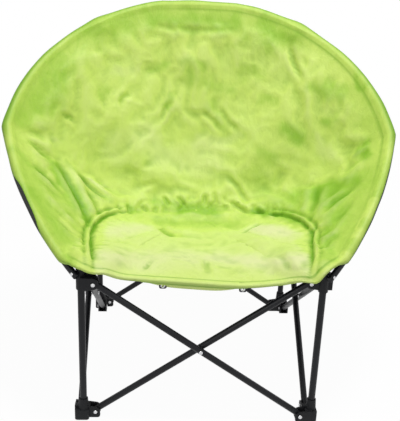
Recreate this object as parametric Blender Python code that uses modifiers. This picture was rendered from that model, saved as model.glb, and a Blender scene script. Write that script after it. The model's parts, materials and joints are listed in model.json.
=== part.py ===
"""Round padded folding camping chair on a four-sided scissor frame.

Units are metres, +Z is up, the sitter faces -Y and the chair stands on its four feet at z = 0.
Corners count in quarter turns from front left: front left, front right, rear right, rear left.
Every corner is the same moulding turned, so each side has an outer tube that falls from the corner
hub on its left to the foot on its right, and an inner tube that rises the other way.
"""

import math

import bmesh
import bpy
from mathutils import Matrix, Vector
from mathutils.geometry import intersect_line_line_2d

# Base square and scissor tubes
BASE_WIDTH = 0.500
BASE_CENTRE_Y = -0.0411
FOOT_PIVOT_HEIGHT = 0.0145
HUB_PIVOT_HEIGHT = 0.333
PIVOT_INSET = 0.0255
LAYER_OFFSET = 0.008
CROSS_RADIUS = 0.007
CROSS_OVERHANG = 0.008
CROSS_END_ROUND = 0.0025
FOLDED_TUBE_ANGLE = 81.85

# Uprights and the tubes that slide in the front ones
UPRIGHT_RADIUS = 0.0075
UPRIGHT_WALL = 0.001
SLIDE_CLEARANCE = 0.0003
SLIDE_START_HEIGHT = 0.022
BEND_CLEARANCE = 0.004
UPRIGHT_TOP_OVERHANG = 0.009

# Clevis ears shared by feet and hubs
FIT_GAP = 0.0003
EAR_THICKNESS = 0.004
SLOT_GAP = 0.0003
EAR_END = 0.0105
EAR_TOP = 0.011
COLLAR_CHAMFER = 0.0008

# Feet
FOOT_HEIGHT = 0.050
FOOT_NECK_WALL = 0.0021
FOOT_NECK_FLARE = 0.0016
FOOT_BLOCK_HEIGHT = 0.0245
FOOT_BLOCK_WALL = 0.0045
FOOT_BLOCK_STEP = 0.0006
FOOT_CORNER = 0.006
FOOT_FLOOR = 0.004
FOOT_SLOT_FLOOR = 0.003
FOOT_SHOULDER = 0.004

# Hubs
HUB_COLLAR_RADIUS = 0.0105
HUB_SKIRT = 0.018
HUB_SEAT_DEPTH = 0.010
HUB_ROOF = 0.003
HUB_CAP = 0.003
HUB_CAP_ROUND = 0.003
ARM_RIVET_RISE = 0.022
ARM_RIVET_COVER = 0.010
REAR_HUB_RISE = 0.018

# Rivets
RIVET_RADIUS = 0.0024
RIVET_CLEARANCE = 0.00035
RIVET_HEAD_RADIUS = 0.0045
RIVET_HEAD_HEIGHT = 0.0018
CROSS_WASHER_RADIUS = 0.0055

# Rim arms, laid out in the tilted rim plane from the front arm rivets
RIM_TILT = 37.0
ARM_RADIUS = 0.007
ARM_OVERHANG = 0.010
RIM_HALF_WIDTH = 0.437
RIM_CORNER_UP = 0.365
RIM_CORNER_HEADING = 94.5
RIM_TOP_HALF_GAP = 0.092
RIM_TOP_UP = 0.758
ARM_END_GAP = 0.006

# Clamp that hangs the upper arm on the rear upright
CLAMP_DROP = 0.027
CLAMP_WALL = 0.004
CLAMP_LENGTH = 0.026
CLAMP_EAR_RADIUS = 0.010
CLAMP_EAR_THICKNESS = 0.004
CLAMP_POCKET = 0.052

# Padded cover
PAD_THICKNESS = 0.020
PAD_CHANNEL_SHARE = 0.55
PAD_EDGE_ROUND = 0.0045
ROLL_OUT = 0.0105
SEAM_GAP = 0.0004
SEAM_TRIM = 0.002
BOWL_UP = 0.305
BOWL_DEPTH = 0.258
BOWL_ROUND = 0.32
WING_FULLNESS = 2.8
SEAT_FULLNESS = 1.2
BACK_TO_UPRIGHT = 0.004
HEM_UP = -0.004
HEM_SAG = 0.022
HEM_CORNER_X = 0.214
HUB_NOTCH_IN = 0.034
HUB_NOTCH_UP = 0.036
SLEEVE_START = 0.052
FOLD_HEIGHT = 0.004
FOLD_COUNT = 5
RIM_LUMP = 0.0015
RIM_LUMPS = 4

# Eyelet tabs sewn under the front hem
TAB_SPACING = 0.166
TAB_WIDTH = 0.016
TAB_DROP = 0.014
TAB_TUCK = 0.007
TAB_INSET = 0.008
TAB_THICKNESS = 0.0022
TAB_CORNER = 0.004
TAB_HOLE_RADIUS = 0.003
TAB_HOLE_UP = 0.0065

# Facets
TUBE_SIDES = 12
COLLAR_SIDES = 16
HOLE_SIDES = 8
RIVET_SIDES = 8
ARM_STEPS = 12
BEND_STEPS = 8

# Derived sizes
HALF_BASE = BASE_WIDTH / 2.0
SIDE_SPAN = BASE_WIDTH - 2.0 * PIVOT_INSET
PIVOT_RISE = HUB_PIVOT_HEIGHT - FOOT_PIVOT_HEIGHT
CROSS_LENGTH = math.hypot(SIDE_SPAN, PIVOT_RISE)
FOLDED_RISE = CROSS_LENGTH * math.sin(math.radians(FOLDED_TUBE_ANGLE)) - PIVOT_RISE
SLOT_WIDTH = 2.0 * (CROSS_RADIUS + SLOT_GAP)
CLEVIS_WIDTH = SLOT_WIDTH + 2.0 * EAR_THICKNESS
END_SWING = math.hypot(CROSS_OVERHANG, CROSS_RADIUS) + 2.0 * FIT_GAP
HOLE_RADIUS = RIVET_RADIUS + RIVET_CLEARANCE
SLIDE_BORE = UPRIGHT_RADIUS - UPRIGHT_WALL
SLIDE_RADIUS = SLIDE_BORE - SLIDE_CLEARANCE
HUB_RISE = ARM_RIVET_RISE + ARM_RIVET_COVER
ARM_OFFSET = HUB_COLLAR_RADIUS + FIT_GAP + ARM_RADIUS
TILT = math.radians(RIM_TILT)
DIAGONAL = math.sqrt(0.5)
PIVOT_X = HALF_BASE + ARM_OFFSET * DIAGONAL
RIM_Y = BASE_CENTRE_Y - PIVOT_X
RIM_Z = HUB_PIVOT_HEIGHT + ARM_RIVET_RISE
ARM_HEADING = math.atan2(1.0, math.cos(TILT))
CORNERS = ("front_left", "front_right", "rear_right", "rear_left")
SIDES = ("front", "right", "rear", "left")


def clear_scene():
    """Remove whatever the scene holds."""
    for obj in list(bpy.data.objects):
        bpy.data.objects.remove(obj, do_unlink=True)


def make_collection(name):
    """Return a new collection linked to the scene."""
    collection = bpy.data.collections.new(name)
    bpy.context.scene.collection.children.link(collection)
    return collection


def make_material(name, colour, roughness, metallic):
    """Return a Principled material."""
    material = bpy.data.materials.new(name)
    material.use_nodes = True
    shader = material.node_tree.nodes["Principled BSDF"]
    shader.inputs["Base Color"].default_value = (*colour, 1.0)
    shader.inputs["Roughness"].default_value = roughness
    shader.inputs["Metallic"].default_value = metallic
    return material


clear_scene()
CHAIR = make_collection("folding_camping_chair")
TOOLS = make_collection("cutters")
COATED = make_material("black_coated_tube", (0.012, 0.012, 0.013), 0.38, 0.3)
PLASTIC = make_material("black_plastic", (0.016, 0.016, 0.017), 0.5, 0.0)
STEEL = make_material("bright_rivet", (0.62, 0.62, 0.64), 0.3, 1.0)
LIME = make_material("lime_padded_cloth", (0.5, 0.75, 0.13), 0.75, 0.0)
WEB = make_material("black_webbing", (0.02, 0.02, 0.02), 0.8, 0.0)


def tool(name, data):
    """Return an object that only helps to shape another one."""
    obj = bpy.data.objects.new(name, data)
    TOOLS.objects.link(obj)
    obj.hide_render = True
    obj.display_type = "WIRE"
    return obj


def from_bmesh(name, bm):
    """Return a tool object that holds a finished bmesh."""
    mesh = bpy.data.meshes.new(name)
    bm.to_mesh(mesh)
    bm.free()
    return tool(name, mesh)


def as_mesh(source):
    """Turn an evaluated curve or modified object into a plain mesh object with welded caps."""
    bpy.context.view_layer.update()
    depsgraph = bpy.context.evaluated_depsgraph_get()
    mesh = bpy.data.meshes.new_from_object(source.evaluated_get(depsgraph))
    bm = bmesh.new()
    bm.from_mesh(mesh)
    bmesh.ops.remove_doubles(bm, verts=bm.verts, dist=0.00001)
    bm.to_mesh(mesh)
    bm.free()
    result = tool(source.name + "_mesh", mesh)
    result.matrix_world = source.matrix_world.copy()
    bpy.data.objects.remove(source, do_unlink=True)
    return result


def combine(target, helpers, operation):
    """Cut helpers from a target or unite them with it, and remove the helpers."""
    for helper in helpers:
        modifier = target.modifiers.new(operation.title(), "BOOLEAN")
        modifier.operation = operation
        modifier.object = helper
    result = as_mesh(target)
    for helper in helpers:
        bpy.data.objects.remove(helper, do_unlink=True)
    return result


def between(start, end):
    """A placement at the middle of two points with local Z along them."""
    axis = end - start
    return Matrix.Translation((start + end) / 2.0) @ axis.to_track_quat("Z", "Y").to_matrix().to_4x4()


def rod(name, radius, start, end, sides):
    """A capped cylinder between two points."""
    bm = bmesh.new()
    bmesh.ops.create_cone(bm, cap_ends=True, segments=sides, radius1=radius, radius2=radius,
                          depth=(end - start).length)
    obj = from_bmesh(name, bm)
    obj.matrix_world = between(start, end)
    return obj


def block(name, low, high):
    """A box between two opposite corners."""
    bm = bmesh.new()
    bmesh.ops.create_cube(bm, size=1.0)
    size = high - low
    bmesh.ops.scale(bm, vec=size, verts=bm.verts)
    bmesh.ops.translate(bm, vec=(low + high) / 2.0, verts=bm.verts)
    return from_bmesh(name, bm)


def turned(name, profile, sides):
    """Turn a profile of (radius, height) points, listed from the top down, about Z."""
    bm = bmesh.new()
    points = [bm.verts.new((radius, 0.0, height)) for radius, height in profile]
    for upper, lower in zip(points, points[1:]):
        bm.edges.new((upper, lower))
    obj = from_bmesh(name, bm)
    screw = obj.modifiers.new("Turn", "SCREW")
    screw.steps = sides
    screw.render_steps = sides
    screw.use_merge_vertices = True
    screw.merge_threshold = 0.00001
    return as_mesh(obj)


def plate(name, outline, thickness, placement):
    """Extrude a flat outline of (x, y) points, half its thickness to each side."""
    curve = bpy.data.curves.new(name, "CURVE")
    curve.dimensions = "2D"
    curve.fill_mode = "BOTH"
    curve.extrude = thickness / 2.0
    spline = curve.splines.new("POLY")
    spline.points.add(len(outline) - 1)
    for point, (x, y) in zip(spline.points, outline):
        point.co = (x, y, 0.0, 1.0)
    spline.use_cyclic_u = True
    obj = tool(name, curve)
    obj.matrix_world = placement
    return as_mesh(obj)


def tube(name, path, radius):
    """A round tube with filled ends along a list of points."""
    curve = bpy.data.curves.new(name, "CURVE")
    curve.dimensions = "3D"
    curve.bevel_depth = radius
    curve.bevel_resolution = TUBE_SIDES // 2 - 2
    curve.use_fill_caps = True
    spline = curve.splines.new("POLY")
    spline.points.add(len(path) - 1)
    for point, place in zip(spline.points, path):
        point.co = (*place, 1.0)
    return as_mesh(tool(name, curve))


def pivot_empty(name, place):
    """An empty on a joint's axis, which carries the pieces of one moving body."""
    empty = bpy.data.objects.new(name + "_pivot", None)
    empty.empty_display_size = 0.02
    empty.location = place
    CHAIR.objects.link(empty)
    bpy.context.view_layer.update()
    return empty


def piece(name, mesh, placement, material, carrier, sharp_angle=35.0):
    """Add a finished piece of the chair to the body that carries it."""
    obj = bpy.data.objects.new(name, mesh)
    CHAIR.objects.link(obj)
    if not mesh.materials:
        mesh.materials.append(material)
    mesh.shade_smooth()
    mesh.set_sharp_from_angle(angle=math.radians(sharp_angle))
    obj.parent = carrier
    obj.matrix_parent_inverse = carrier.matrix_world.inverted()
    obj.matrix_basis = placement
    return obj


def taken_mesh(obj):
    """Return an unplaced tool object's mesh with its placement applied, and remove the object."""
    mesh = obj.data
    mesh.transform(obj.matrix_world)
    bpy.data.objects.remove(obj, do_unlink=True)
    return mesh


def side_turn(index):
    """Turn the front side of the base onto another side."""
    return Matrix.Translation((0.0, BASE_CENTRE_Y, 0.0)) @ Matrix.Rotation(math.radians(90.0 * index), 4, "Z")


def corner_place(index, height=0.0):
    """Placement of a corner moulding, with local X and Y along the two sides that meet there."""
    return side_turn(index) @ Matrix.Translation((-HALF_BASE, -HALF_BASE, height))


def side_point(index, x, layer, height):
    """A point on one side of the base, x along the side and layer counted inwards."""
    return side_turn(index) @ Vector((x, -HALF_BASE + layer, height))


def on_rim(point, depth=0.0):
    """A world point from rim plane coordinates, with depth measured below the plane."""
    y = RIM_Y + point.y * math.cos(TILT) + depth * math.sin(TILT)
    z = RIM_Z + point.y * math.sin(TILT) - depth * math.cos(TILT)
    return Vector((point.x, y, z))


def mirrored(point, side):
    """Mirror a rim plane or world point to the left for side -1."""
    result = point.copy()
    result.x *= side
    return result


class Arc:
    """A circular arc in the rim plane that leaves its start at a heading and meets its end."""

    def __init__(self, start, end, heading):
        chord = end - start
        self.start = start
        self.heading = heading
        self.turn = 2.0 * (math.atan2(chord.y, chord.x) - heading)
        self.radius = chord.length / (2.0 * math.sin(self.turn / 2.0))
        self.length = self.radius * self.turn

    def angle(self, share):
        """Heading of the arc at a share of its length."""
        return self.heading + self.turn * share

    def point(self, share):
        """Point of the arc at a share of its length."""
        angle = self.angle(share)
        x = self.start.x + self.radius * (math.sin(angle) - math.sin(self.heading))
        y = self.start.y - self.radius * (math.cos(angle) - math.cos(self.heading))
        return Vector((x, y))

    def outward(self, share):
        """Unit vector to the outside of the rim."""
        angle = self.angle(share)
        return Vector((math.sin(angle), -math.cos(angle)))

    def share_at_x(self, x):
        """Share of the length where the arc, on its way back to the middle, reaches x."""
        sine = math.sin(self.heading) + (x - self.start.x) / self.radius
        return (math.pi - math.asin(sine) - self.heading) / self.turn


RIM_FOOT = Vector((PIVOT_X, 0.0))
RIM_CORNER = Vector((RIM_HALF_WIDTH, RIM_CORNER_UP))
RIM_TOP = Vector((RIM_TOP_HALF_GAP, RIM_TOP_UP))
LOWER_ARC = Arc(RIM_FOOT, RIM_CORNER, ARM_HEADING)
UPPER_ARC = Arc(RIM_CORNER, RIM_TOP, math.radians(RIM_CORNER_HEADING))
CLAMP_SHARE = UPPER_ARC.share_at_x(HALF_BASE)


def ear_outline(bottom_low, bottom, top, top_high, corner):
    """Side view of a clevis: from the collar out to an end past the pivot, with a rounded lower corner."""
    centre = PIVOT_INSET + EAR_END - corner
    outline = [(0.0, bottom_low), (centre, bottom)]
    for i in range(1, 5):
        angle = math.radians(-90.0 + 22.5 * i)
        outline.append((centre + corner * math.cos(angle), bottom + corner + corner * math.sin(angle)))
    for i in range(1, 4):
        angle = math.radians(22.5 * i)
        outline.append((PIVOT_INSET + EAR_END * math.cos(angle), top * math.sin(angle)))
    outline.append((PIVOT_INSET, top))
    outline.append((0.0, top_high))
    return outline


def clevis_frames(first_layer):
    """Placements of the two clevises of a moulding: local X outwards and local Y up."""
    along_x = Matrix(((1, 0, 0, 0), (0, 0, -1, first_layer), (0, 1, 0, 0), (0, 0, 0, 1)))
    along_y = Matrix(((0, 0, 1, -first_layer), (1, 0, 0, 0), (0, 1, 0, 0), (0, 0, 0, 1)))
    return along_x, along_y


def slot_cutter(frame, low, high):
    """The space that a cross tube's end swings in."""
    reach = PIVOT_INSET + EAR_END + CLEVIS_WIDTH
    half = SLOT_WIDTH / 2.0
    start = PIVOT_INSET - END_SWING - FIT_GAP
    cutter = block("slot", Vector((start, low, -half)), Vector((reach, high, half)))
    cutter.matrix_world = frame
    return cutter


def clevis_hole(frame, height):
    """The cross hole of a clevis."""
    start = frame @ Vector((PIVOT_INSET, height, -CLEVIS_WIDTH))
    end = frame @ Vector((PIVOT_INSET, height, CLEVIS_WIDTH))
    return rod("hole", HOLE_RADIUS, start, end, HOLE_SIDES)


def foot_block():
    """The square base of a foot, which spans the width of both clevises."""
    near = UPRIGHT_RADIUS + FIT_GAP + FOOT_BLOCK_WALL
    far = LAYER_OFFSET + CLEVIS_WIDTH / 2.0 - FOOT_BLOCK_STEP
    near_centre = near - FOOT_CORNER
    far_centre = far - FOOT_CORNER
    corners = [
        (near_centre, -near_centre),
        (near_centre, far_centre),
        (-far_centre, far_centre),
        (-far_centre, -near_centre),
    ]
    outline = []
    for quarter, (x, y) in enumerate(corners):
        for i in range(4):
            angle = math.radians(90.0 * quarter - 90.0 + 30.0 * i)
            outline.append((x + FOOT_CORNER * math.cos(angle), y + FOOT_CORNER * math.sin(angle)))
    return plate("block", outline, FOOT_BLOCK_HEIGHT, Matrix.Translation((0.0, 0.0, FOOT_BLOCK_HEIGHT / 2.0)))


def foot_mesh():
    """A moulded foot: a square block, a tapered neck for the upright and two clevises for the tubes."""
    socket = UPRIGHT_RADIUS + FIT_GAP
    top = socket + FOOT_NECK_WALL
    base = top + FOOT_NECK_FLARE
    profile = [
        (0.0, FOOT_HEIGHT),
        (top - COLLAR_CHAMFER, FOOT_HEIGHT),
        (top, FOOT_HEIGHT - COLLAR_CHAMFER),
        (base, FOOT_BLOCK_HEIGHT - COLLAR_CHAMFER),
        (base, FOOT_BLOCK_HEIGHT / 2.0),
        (0.0, FOOT_BLOCK_HEIGHT / 2.0),
    ]
    body = turned("foot", profile, COLLAR_SIDES)
    bottom = FOOT_BLOCK_STEP - FOOT_PIVOT_HEIGHT
    outline = ear_outline(bottom, bottom, EAR_TOP, EAR_TOP + FOOT_SHOULDER, FOOT_CORNER)
    raise_pivot = Matrix.Translation((0.0, 0.0, FOOT_PIVOT_HEIGHT))
    frames = [raise_pivot @ frame for frame in clevis_frames(LAYER_OFFSET)]
    parts = [plate("ears", outline, CLEVIS_WIDTH, frame) for frame in frames]
    body = combine(body, [foot_block()] + parts, "UNION")
    floor = Vector((0.0, 0.0, FOOT_FLOOR))
    over = Vector((0.0, 0.0, 2.0 * FOOT_HEIGHT))
    cutters = [rod("socket", socket, floor, over, COLLAR_SIDES)]
    for frame in frames:
        cutters.append(slot_cutter(frame, FOOT_SLOT_FLOOR - FOOT_PIVOT_HEIGHT, 2.0 * FOOT_HEIGHT))
        cutters.append(clevis_hole(frame, 0.0))
    return taken_mesh(combine(body, cutters, "DIFFERENCE"))


def hub_mesh(rise, front):
    """A moulded corner hub about the pivot height: a collar with two roofed clevises."""
    profile = [
        (0.0, rise),
        (HUB_COLLAR_RADIUS - HUB_CAP_ROUND, rise),
        (HUB_COLLAR_RADIUS, rise - HUB_CAP_ROUND),
        (HUB_COLLAR_RADIUS, -HUB_SKIRT + COLLAR_CHAMFER),
        (HUB_COLLAR_RADIUS - COLLAR_CHAMFER, -HUB_SKIRT),
        (0.0, -HUB_SKIRT),
    ]
    body = turned("hub", profile, COLLAR_SIDES)
    roof = END_SWING + HUB_ROOF
    outline = ear_outline(-HUB_SKIRT + HUB_ROOF, -EAR_TOP, roof, roof + COLLAR_CHAMFER, EAR_END)
    frames = clevis_frames(-LAYER_OFFSET)
    ears = [plate("ears", outline, CLEVIS_WIDTH, frame) for frame in frames]
    body = combine(body, ears, "UNION")
    below = Vector((0.0, 0.0, -2.0 * HUB_SKIRT))
    over = Vector((0.0, 0.0, 2.0 * rise))
    if front:
        seat = Vector((0.0, 0.0, HUB_SEAT_DEPTH - HUB_SKIRT))
        end = Vector((0.0, 0.0, rise - HUB_CAP))
        reach = Vector((-DIAGONAL, -DIAGONAL, 0.0)) * 2.0 * HUB_COLLAR_RADIUS
        height = Vector((0.0, 0.0, ARM_RIVET_RISE))
        cutters = [
            rod("seat", UPRIGHT_RADIUS + FIT_GAP, below, seat, COLLAR_SIDES),
            rod("bore", SLIDE_RADIUS + SLIDE_CLEARANCE, below, end, COLLAR_SIDES),
            rod("arm_hole", HOLE_RADIUS, height - reach, height + reach, HOLE_SIDES),
        ]
    else:
        cutters = [rod("bore", UPRIGHT_RADIUS + FIT_GAP, below, over, COLLAR_SIDES)]
    for frame in frames:
        cutters.append(slot_cutter(frame, -2.0 * HUB_SKIRT, END_SWING))
        cutters.append(clevis_hole(frame, 0.0))
    return taken_mesh(combine(body, cutters, "DIFFERENCE"))


def cross_mesh():
    """A cross tube along X about its middle, with rounded ends and three rivet holes along Y."""
    half = CROSS_LENGTH / 2.0
    reach = Vector((half + CROSS_OVERHANG, 0.0, 0.0))
    body = rod("cross", CROSS_RADIUS, -reach, reach, TUBE_SIDES)
    bevel = body.modifiers.new("Round", "BEVEL")
    bevel.width = CROSS_END_ROUND
    bevel.segments = 1
    bevel.limit_method = "ANGLE"
    bevel.angle_limit = math.radians(60.0)
    body = as_mesh(body)
    through = Vector((0.0, 2.0 * CROSS_RADIUS, 0.0))
    holes = []
    for x in (-half, 0.0, half):
        place = Vector((x, 0.0, 0.0))
        holes.append(rod("hole", HOLE_RADIUS, place - through, place + through, HOLE_SIDES))
    return taken_mesh(combine(body, holes, "DIFFERENCE"))


def rivet_mesh(grip, washer=0.0):
    """A dome-headed rivet along Z about the middle of its grip, with a washer midway if wanted."""
    half = grip / 2.0
    upper = [
        (0.0, half + RIVET_HEAD_HEIGHT),
        (RIVET_HEAD_RADIUS * 0.7, half + RIVET_HEAD_HEIGHT * 0.8),
        (RIVET_HEAD_RADIUS, half),
        (RIVET_RADIUS, half),
    ]
    middle = []
    if washer:
        middle = [
            (RIVET_RADIUS, washer / 2.0),
            (CROSS_WASHER_RADIUS, washer / 2.0),
            (CROSS_WASHER_RADIUS, -washer / 2.0),
            (RIVET_RADIUS, -washer / 2.0),
        ]
    lower = [(radius, -height) for radius, height in reversed(upper)]
    return taken_mesh(turned("rivet", upper + middle + lower, RIVET_SIDES))


def front_upright_mesh():
    """A straight open tube from the foot's floor up into the hub's seat."""
    low = Vector((0.0, 0.0, FOOT_FLOOR + FIT_GAP))
    high = Vector((0.0, 0.0, HUB_PIVOT_HEIGHT - HUB_SKIRT + HUB_SEAT_DEPTH - FIT_GAP))
    over = Vector((0.0, 0.0, UPRIGHT_RADIUS))
    body = rod("upright", UPRIGHT_RADIUS, low, high, COLLAR_SIDES)
    bore = rod("bore", SLIDE_BORE, low - over, high + over, COLLAR_SIDES)
    return taken_mesh(combine(body, [bore], "DIFFERENCE"))


def front_slide_mesh():
    """The tube that is fixed in the front hub and slides in the front upright, about the hub pivot."""
    low = Vector((0.0, 0.0, SLIDE_START_HEIGHT - HUB_PIVOT_HEIGHT))
    high = Vector((0.0, 0.0, HUB_RISE - HUB_CAP - FIT_GAP))
    reach = Vector((-DIAGONAL, -DIAGONAL, 0.0)) * 2.0 * HUB_COLLAR_RADIUS
    height = Vector((0.0, 0.0, ARM_RIVET_RISE))
    body = rod("slide", SLIDE_RADIUS, low, high, COLLAR_SIDES)
    hole = rod("hole", HOLE_RADIUS, height - reach, height + reach, HOLE_SIDES)
    return taken_mesh(combine(body, [hole], "DIFFERENCE"))


def arm_tangent(arc, share, side):
    """World direction of a rim arm towards the end of its arc."""
    angle = arc.angle(share)
    return mirrored(on_rim(Vector((math.cos(angle), math.sin(angle)))) - on_rim(Vector((0.0, 0.0))), side)


def clamp_frame(side):
    """Placement of the clamp at its pivot: local X level along the arm and local Y along the rivet."""
    tangent = arm_tangent(UPPER_ARC, CLAMP_SHARE, side)
    along = Vector((tangent.x, tangent.y, 0.0)).normalized()
    up = Vector((0.0, 0.0, 1.0))
    across = up.cross(along)
    place = mirrored(on_rim(UPPER_ARC.point(CLAMP_SHARE)), side) - up * CLAMP_DROP
    frame = Matrix((along, across, up)).transposed().to_4x4()
    frame.translation = place
    return frame


def offset_bend(start, end):
    """Points of an easy double bend that carries a vertical tube from one line to another beside it."""
    shift = Vector((end.x - start.x, end.y - start.y, 0.0))
    rise = Vector((0.0, 0.0, end.z - start.z))
    points = []
    for i in range(BEND_STEPS + 1):
        share = i / BEND_STEPS
        points.append(start + rise * share + shift * smooth_step(share))
    return points


def rear_upright_path(side):
    """Centre line of a rear upright: straight where the hub slides, then over to the clamp's rivet."""
    up = Vector((0.0, 0.0, 1.0))
    pivot = clamp_frame(side).translation
    corner = corner_place(2 if side > 0 else 3).translation
    hub_top = HUB_PIVOT_HEIGHT + FOLDED_RISE + REAR_HUB_RISE
    bend = offset_bend(corner + up * (hub_top + BEND_CLEARANCE), pivot - up * (CLAMP_EAR_RADIUS + FIT_GAP))
    return [corner + up * (FOOT_FLOOR + FIT_GAP)] + bend + [pivot + up * UPRIGHT_TOP_OVERHANG]


def rear_upright_mesh(side):
    """A rear upright with the hole for the clamp's rivet."""
    frame = clamp_frame(side)
    pivot = frame.translation
    body = tube("rear_upright", rear_upright_path(side), UPRIGHT_RADIUS)
    through = frame.to_3x3() @ Vector((0.0, 2.0 * UPRIGHT_RADIUS, 0.0))
    hole = rod("hole", HOLE_RADIUS, pivot - through, pivot + through, HOLE_SIDES)
    return taken_mesh(combine(body, [hole], "DIFFERENCE"))


def arm_path(arc, first, last, side):
    """World points along a rim arm between two distances from the start of its arc."""
    path = []
    for i in range(ARM_STEPS + 1):
        distance = first + (last - first) * i / ARM_STEPS
        path.append(mirrored(on_rim(arc.point(distance / arc.length)), side))
    return path


def stretched(path, before, after):
    """A path with its ends carried on in a straight line."""
    first = path[0] + (path[0] - path[1]).normalized() * before
    last = path[-1] + (path[-1] - path[-2]).normalized() * after
    return [first] + path[1:-1] + [last]


def lower_arm_path(side):
    """Centre line of a lower arm, from below its rivet to the rim corner."""
    path = arm_path(LOWER_ARC, 0.0, LOWER_ARC.length - ARM_END_GAP, side)
    start = path[0] - arm_tangent(LOWER_ARC, 0.0, side) * ARM_OVERHANG
    return [start] + path


def upper_arm_path(side):
    """Centre line of an upper arm, from the rim corner to the top."""
    return arm_path(UPPER_ARC, ARM_END_GAP, UPPER_ARC.length, side)


def rivet_line(side):
    """The level line through a front hub and its lower arm, pointing outwards."""
    return Vector((DIAGONAL * side, -DIAGONAL, 0.0))


def lower_arm_mesh(side):
    """A lower arm with its rivet hole."""
    body = tube("lower_arm", lower_arm_path(side), ARM_RADIUS)
    place = mirrored(on_rim(RIM_FOOT), side)
    through = rivet_line(side) * 2.0 * ARM_RADIUS
    hole = rod("hole", HOLE_RADIUS, place - through, place + through, HOLE_SIDES)
    return taken_mesh(combine(body, [hole], "DIFFERENCE"))


def clamp_mesh(side):
    """The clamp about its pivot: a sleeve on the upper arm with two ears beside the upright."""
    tangent = arm_tangent(UPPER_ARC, CLAMP_SHARE, side)
    slope = Vector((math.hypot(tangent.x, tangent.y), 0.0, tangent.z))
    centre = Vector((0.0, 0.0, CLAMP_DROP))
    half = slope * CLAMP_LENGTH / 2.0
    body = rod("sleeve", ARM_RADIUS + FIT_GAP + CLAMP_WALL, centre - half, centre + half, COLLAR_SIDES)
    outline = [(CLAMP_EAR_RADIUS, CLAMP_DROP)]
    for i in range(9):
        angle = math.radians(22.5 * i)
        outline.append((CLAMP_EAR_RADIUS * math.cos(angle), -CLAMP_EAR_RADIUS * math.sin(angle)))
    outline.append((-CLAMP_EAR_RADIUS, CLAMP_DROP))
    ears = []
    for way in (-1.0, 1.0):
        y = way * (UPRIGHT_RADIUS + FIT_GAP + CLAMP_EAR_THICKNESS / 2.0)
        frame = Matrix(((1, 0, 0, 0), (0, 0, -1, y), (0, 1, 0, 0), (0, 0, 0, 1)))
        ears.append(plate("ear", outline, CLAMP_EAR_THICKNESS, frame))
    body = combine(body, ears, "UNION")
    wide = Vector((0.0, 2.0 * (UPRIGHT_RADIUS + CLAMP_EAR_THICKNESS), 0.0))
    to_clamp = clamp_frame(side).inverted()
    arm_line = [to_clamp @ point for point in upper_arm_path(side)]
    cutters = [
        tube("bore", arm_line, ARM_RADIUS + FIT_GAP),
        rod("hole", HOLE_RADIUS, -wide, wide, HOLE_SIDES),
    ]
    return taken_mesh(combine(body, cutters, "DIFFERENCE"))


def clamp_space(side):
    """The room that a cover panel leaves for the clamp and the upright's end."""
    frame = clamp_frame(side)
    tangent = arm_tangent(UPPER_ARC, CLAMP_SHARE, side)
    centre = mirrored(on_rim(UPPER_ARC.point(CLAMP_SHARE)), side)
    half = tangent * (CLAMP_LENGTH / 2.0 + 2.0 * FIT_GAP)
    radius = ARM_RADIUS + CLAMP_WALL + 3.0 * FIT_GAP
    sleeve = rod("sleeve_space", radius, centre - half, centre + half, COLLAR_SIDES)
    width = UPRIGHT_RADIUS + CLAMP_EAR_THICKNESS + RIVET_HEAD_HEIGHT + 4.0 * FIT_GAP
    length = CLAMP_EAR_RADIUS + 4.0 * FIT_GAP
    ears = block("ear_space", Vector((-length, -width, -CLAMP_POCKET)), Vector((length, width, CLAMP_DROP)))
    ears.matrix_world = frame
    return [sleeve, ears]


def smooth_step(value):
    """Ease from 0 to 1."""
    share = min(1.0, max(0.0, value))
    return share * share * (3.0 - 2.0 * share)


def hem_point(share):
    """The front hem from where it meets the arm's sleeve (0) to the middle of the chair (1)."""
    mouth = LOWER_ARC.point(SLEEVE_START / LOWER_ARC.length)
    inner = Vector((PIVOT_X - HUB_NOTCH_IN, HUB_NOTCH_UP))
    corner = Vector((HEM_CORNER_X, HEM_UP))
    middle = Vector((-SEAM_TRIM, HEM_UP))
    stops = [mouth, inner, corner, middle]
    spans = [(b - a).length for a, b in zip(stops, stops[1:])]
    distance = share * sum(spans)
    for start, end, span in zip(stops, stops[1:], spans):
        if distance <= span or end is middle:
            return start.lerp(end, distance / span)
        distance -= span
    return middle


def front_border():
    """Border of a front panel from the rim corner to the middle of the hem: point, outward, hem share."""
    border = []
    first = 1.0 + SEAM_TRIM / LOWER_ARC.length
    last = SLEEVE_START / LOWER_ARC.length
    for i in range(9):
        share = first + (last - first) * i / 8.0
        border.append((LOWER_ARC.point(share), LOWER_ARC.outward(share), 0.0))
    for i in range(1, 9):
        share = i / 8.0
        outward = Vector((0.6 * (1.0 - share), -1.0)).normalized()
        border.append((hem_point(share), outward * 0.5, share))
    return border


def back_border():
    """Border of a back panel from the rim corner to the middle of the top edge."""
    border = []
    first = -SEAM_TRIM / UPPER_ARC.length
    for i in range(13):
        share = first + (1.0 - first) * i / 12.0
        border.append((UPPER_ARC.point(share), UPPER_ARC.outward(share), 0.0))
    for i in range(1, 3):
        border.append((RIM_TOP.lerp(Vector((-SEAM_TRIM, RIM_TOP_UP)), i / 2.0), Vector((0.0, 1.0)), 0.0))
    return border


def bowl_rise(row, fullness):
    """Share of the bowl's depth gained on the way from its lowest point (0) to the rim (1)."""
    low = BOWL_ROUND ** fullness
    high = (1.0 + BOWL_ROUND ** 2) ** (fullness / 2.0)
    return ((row ** 2 + BOWL_ROUND ** 2) ** (fullness / 2.0) - low) / (high - low)


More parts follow.
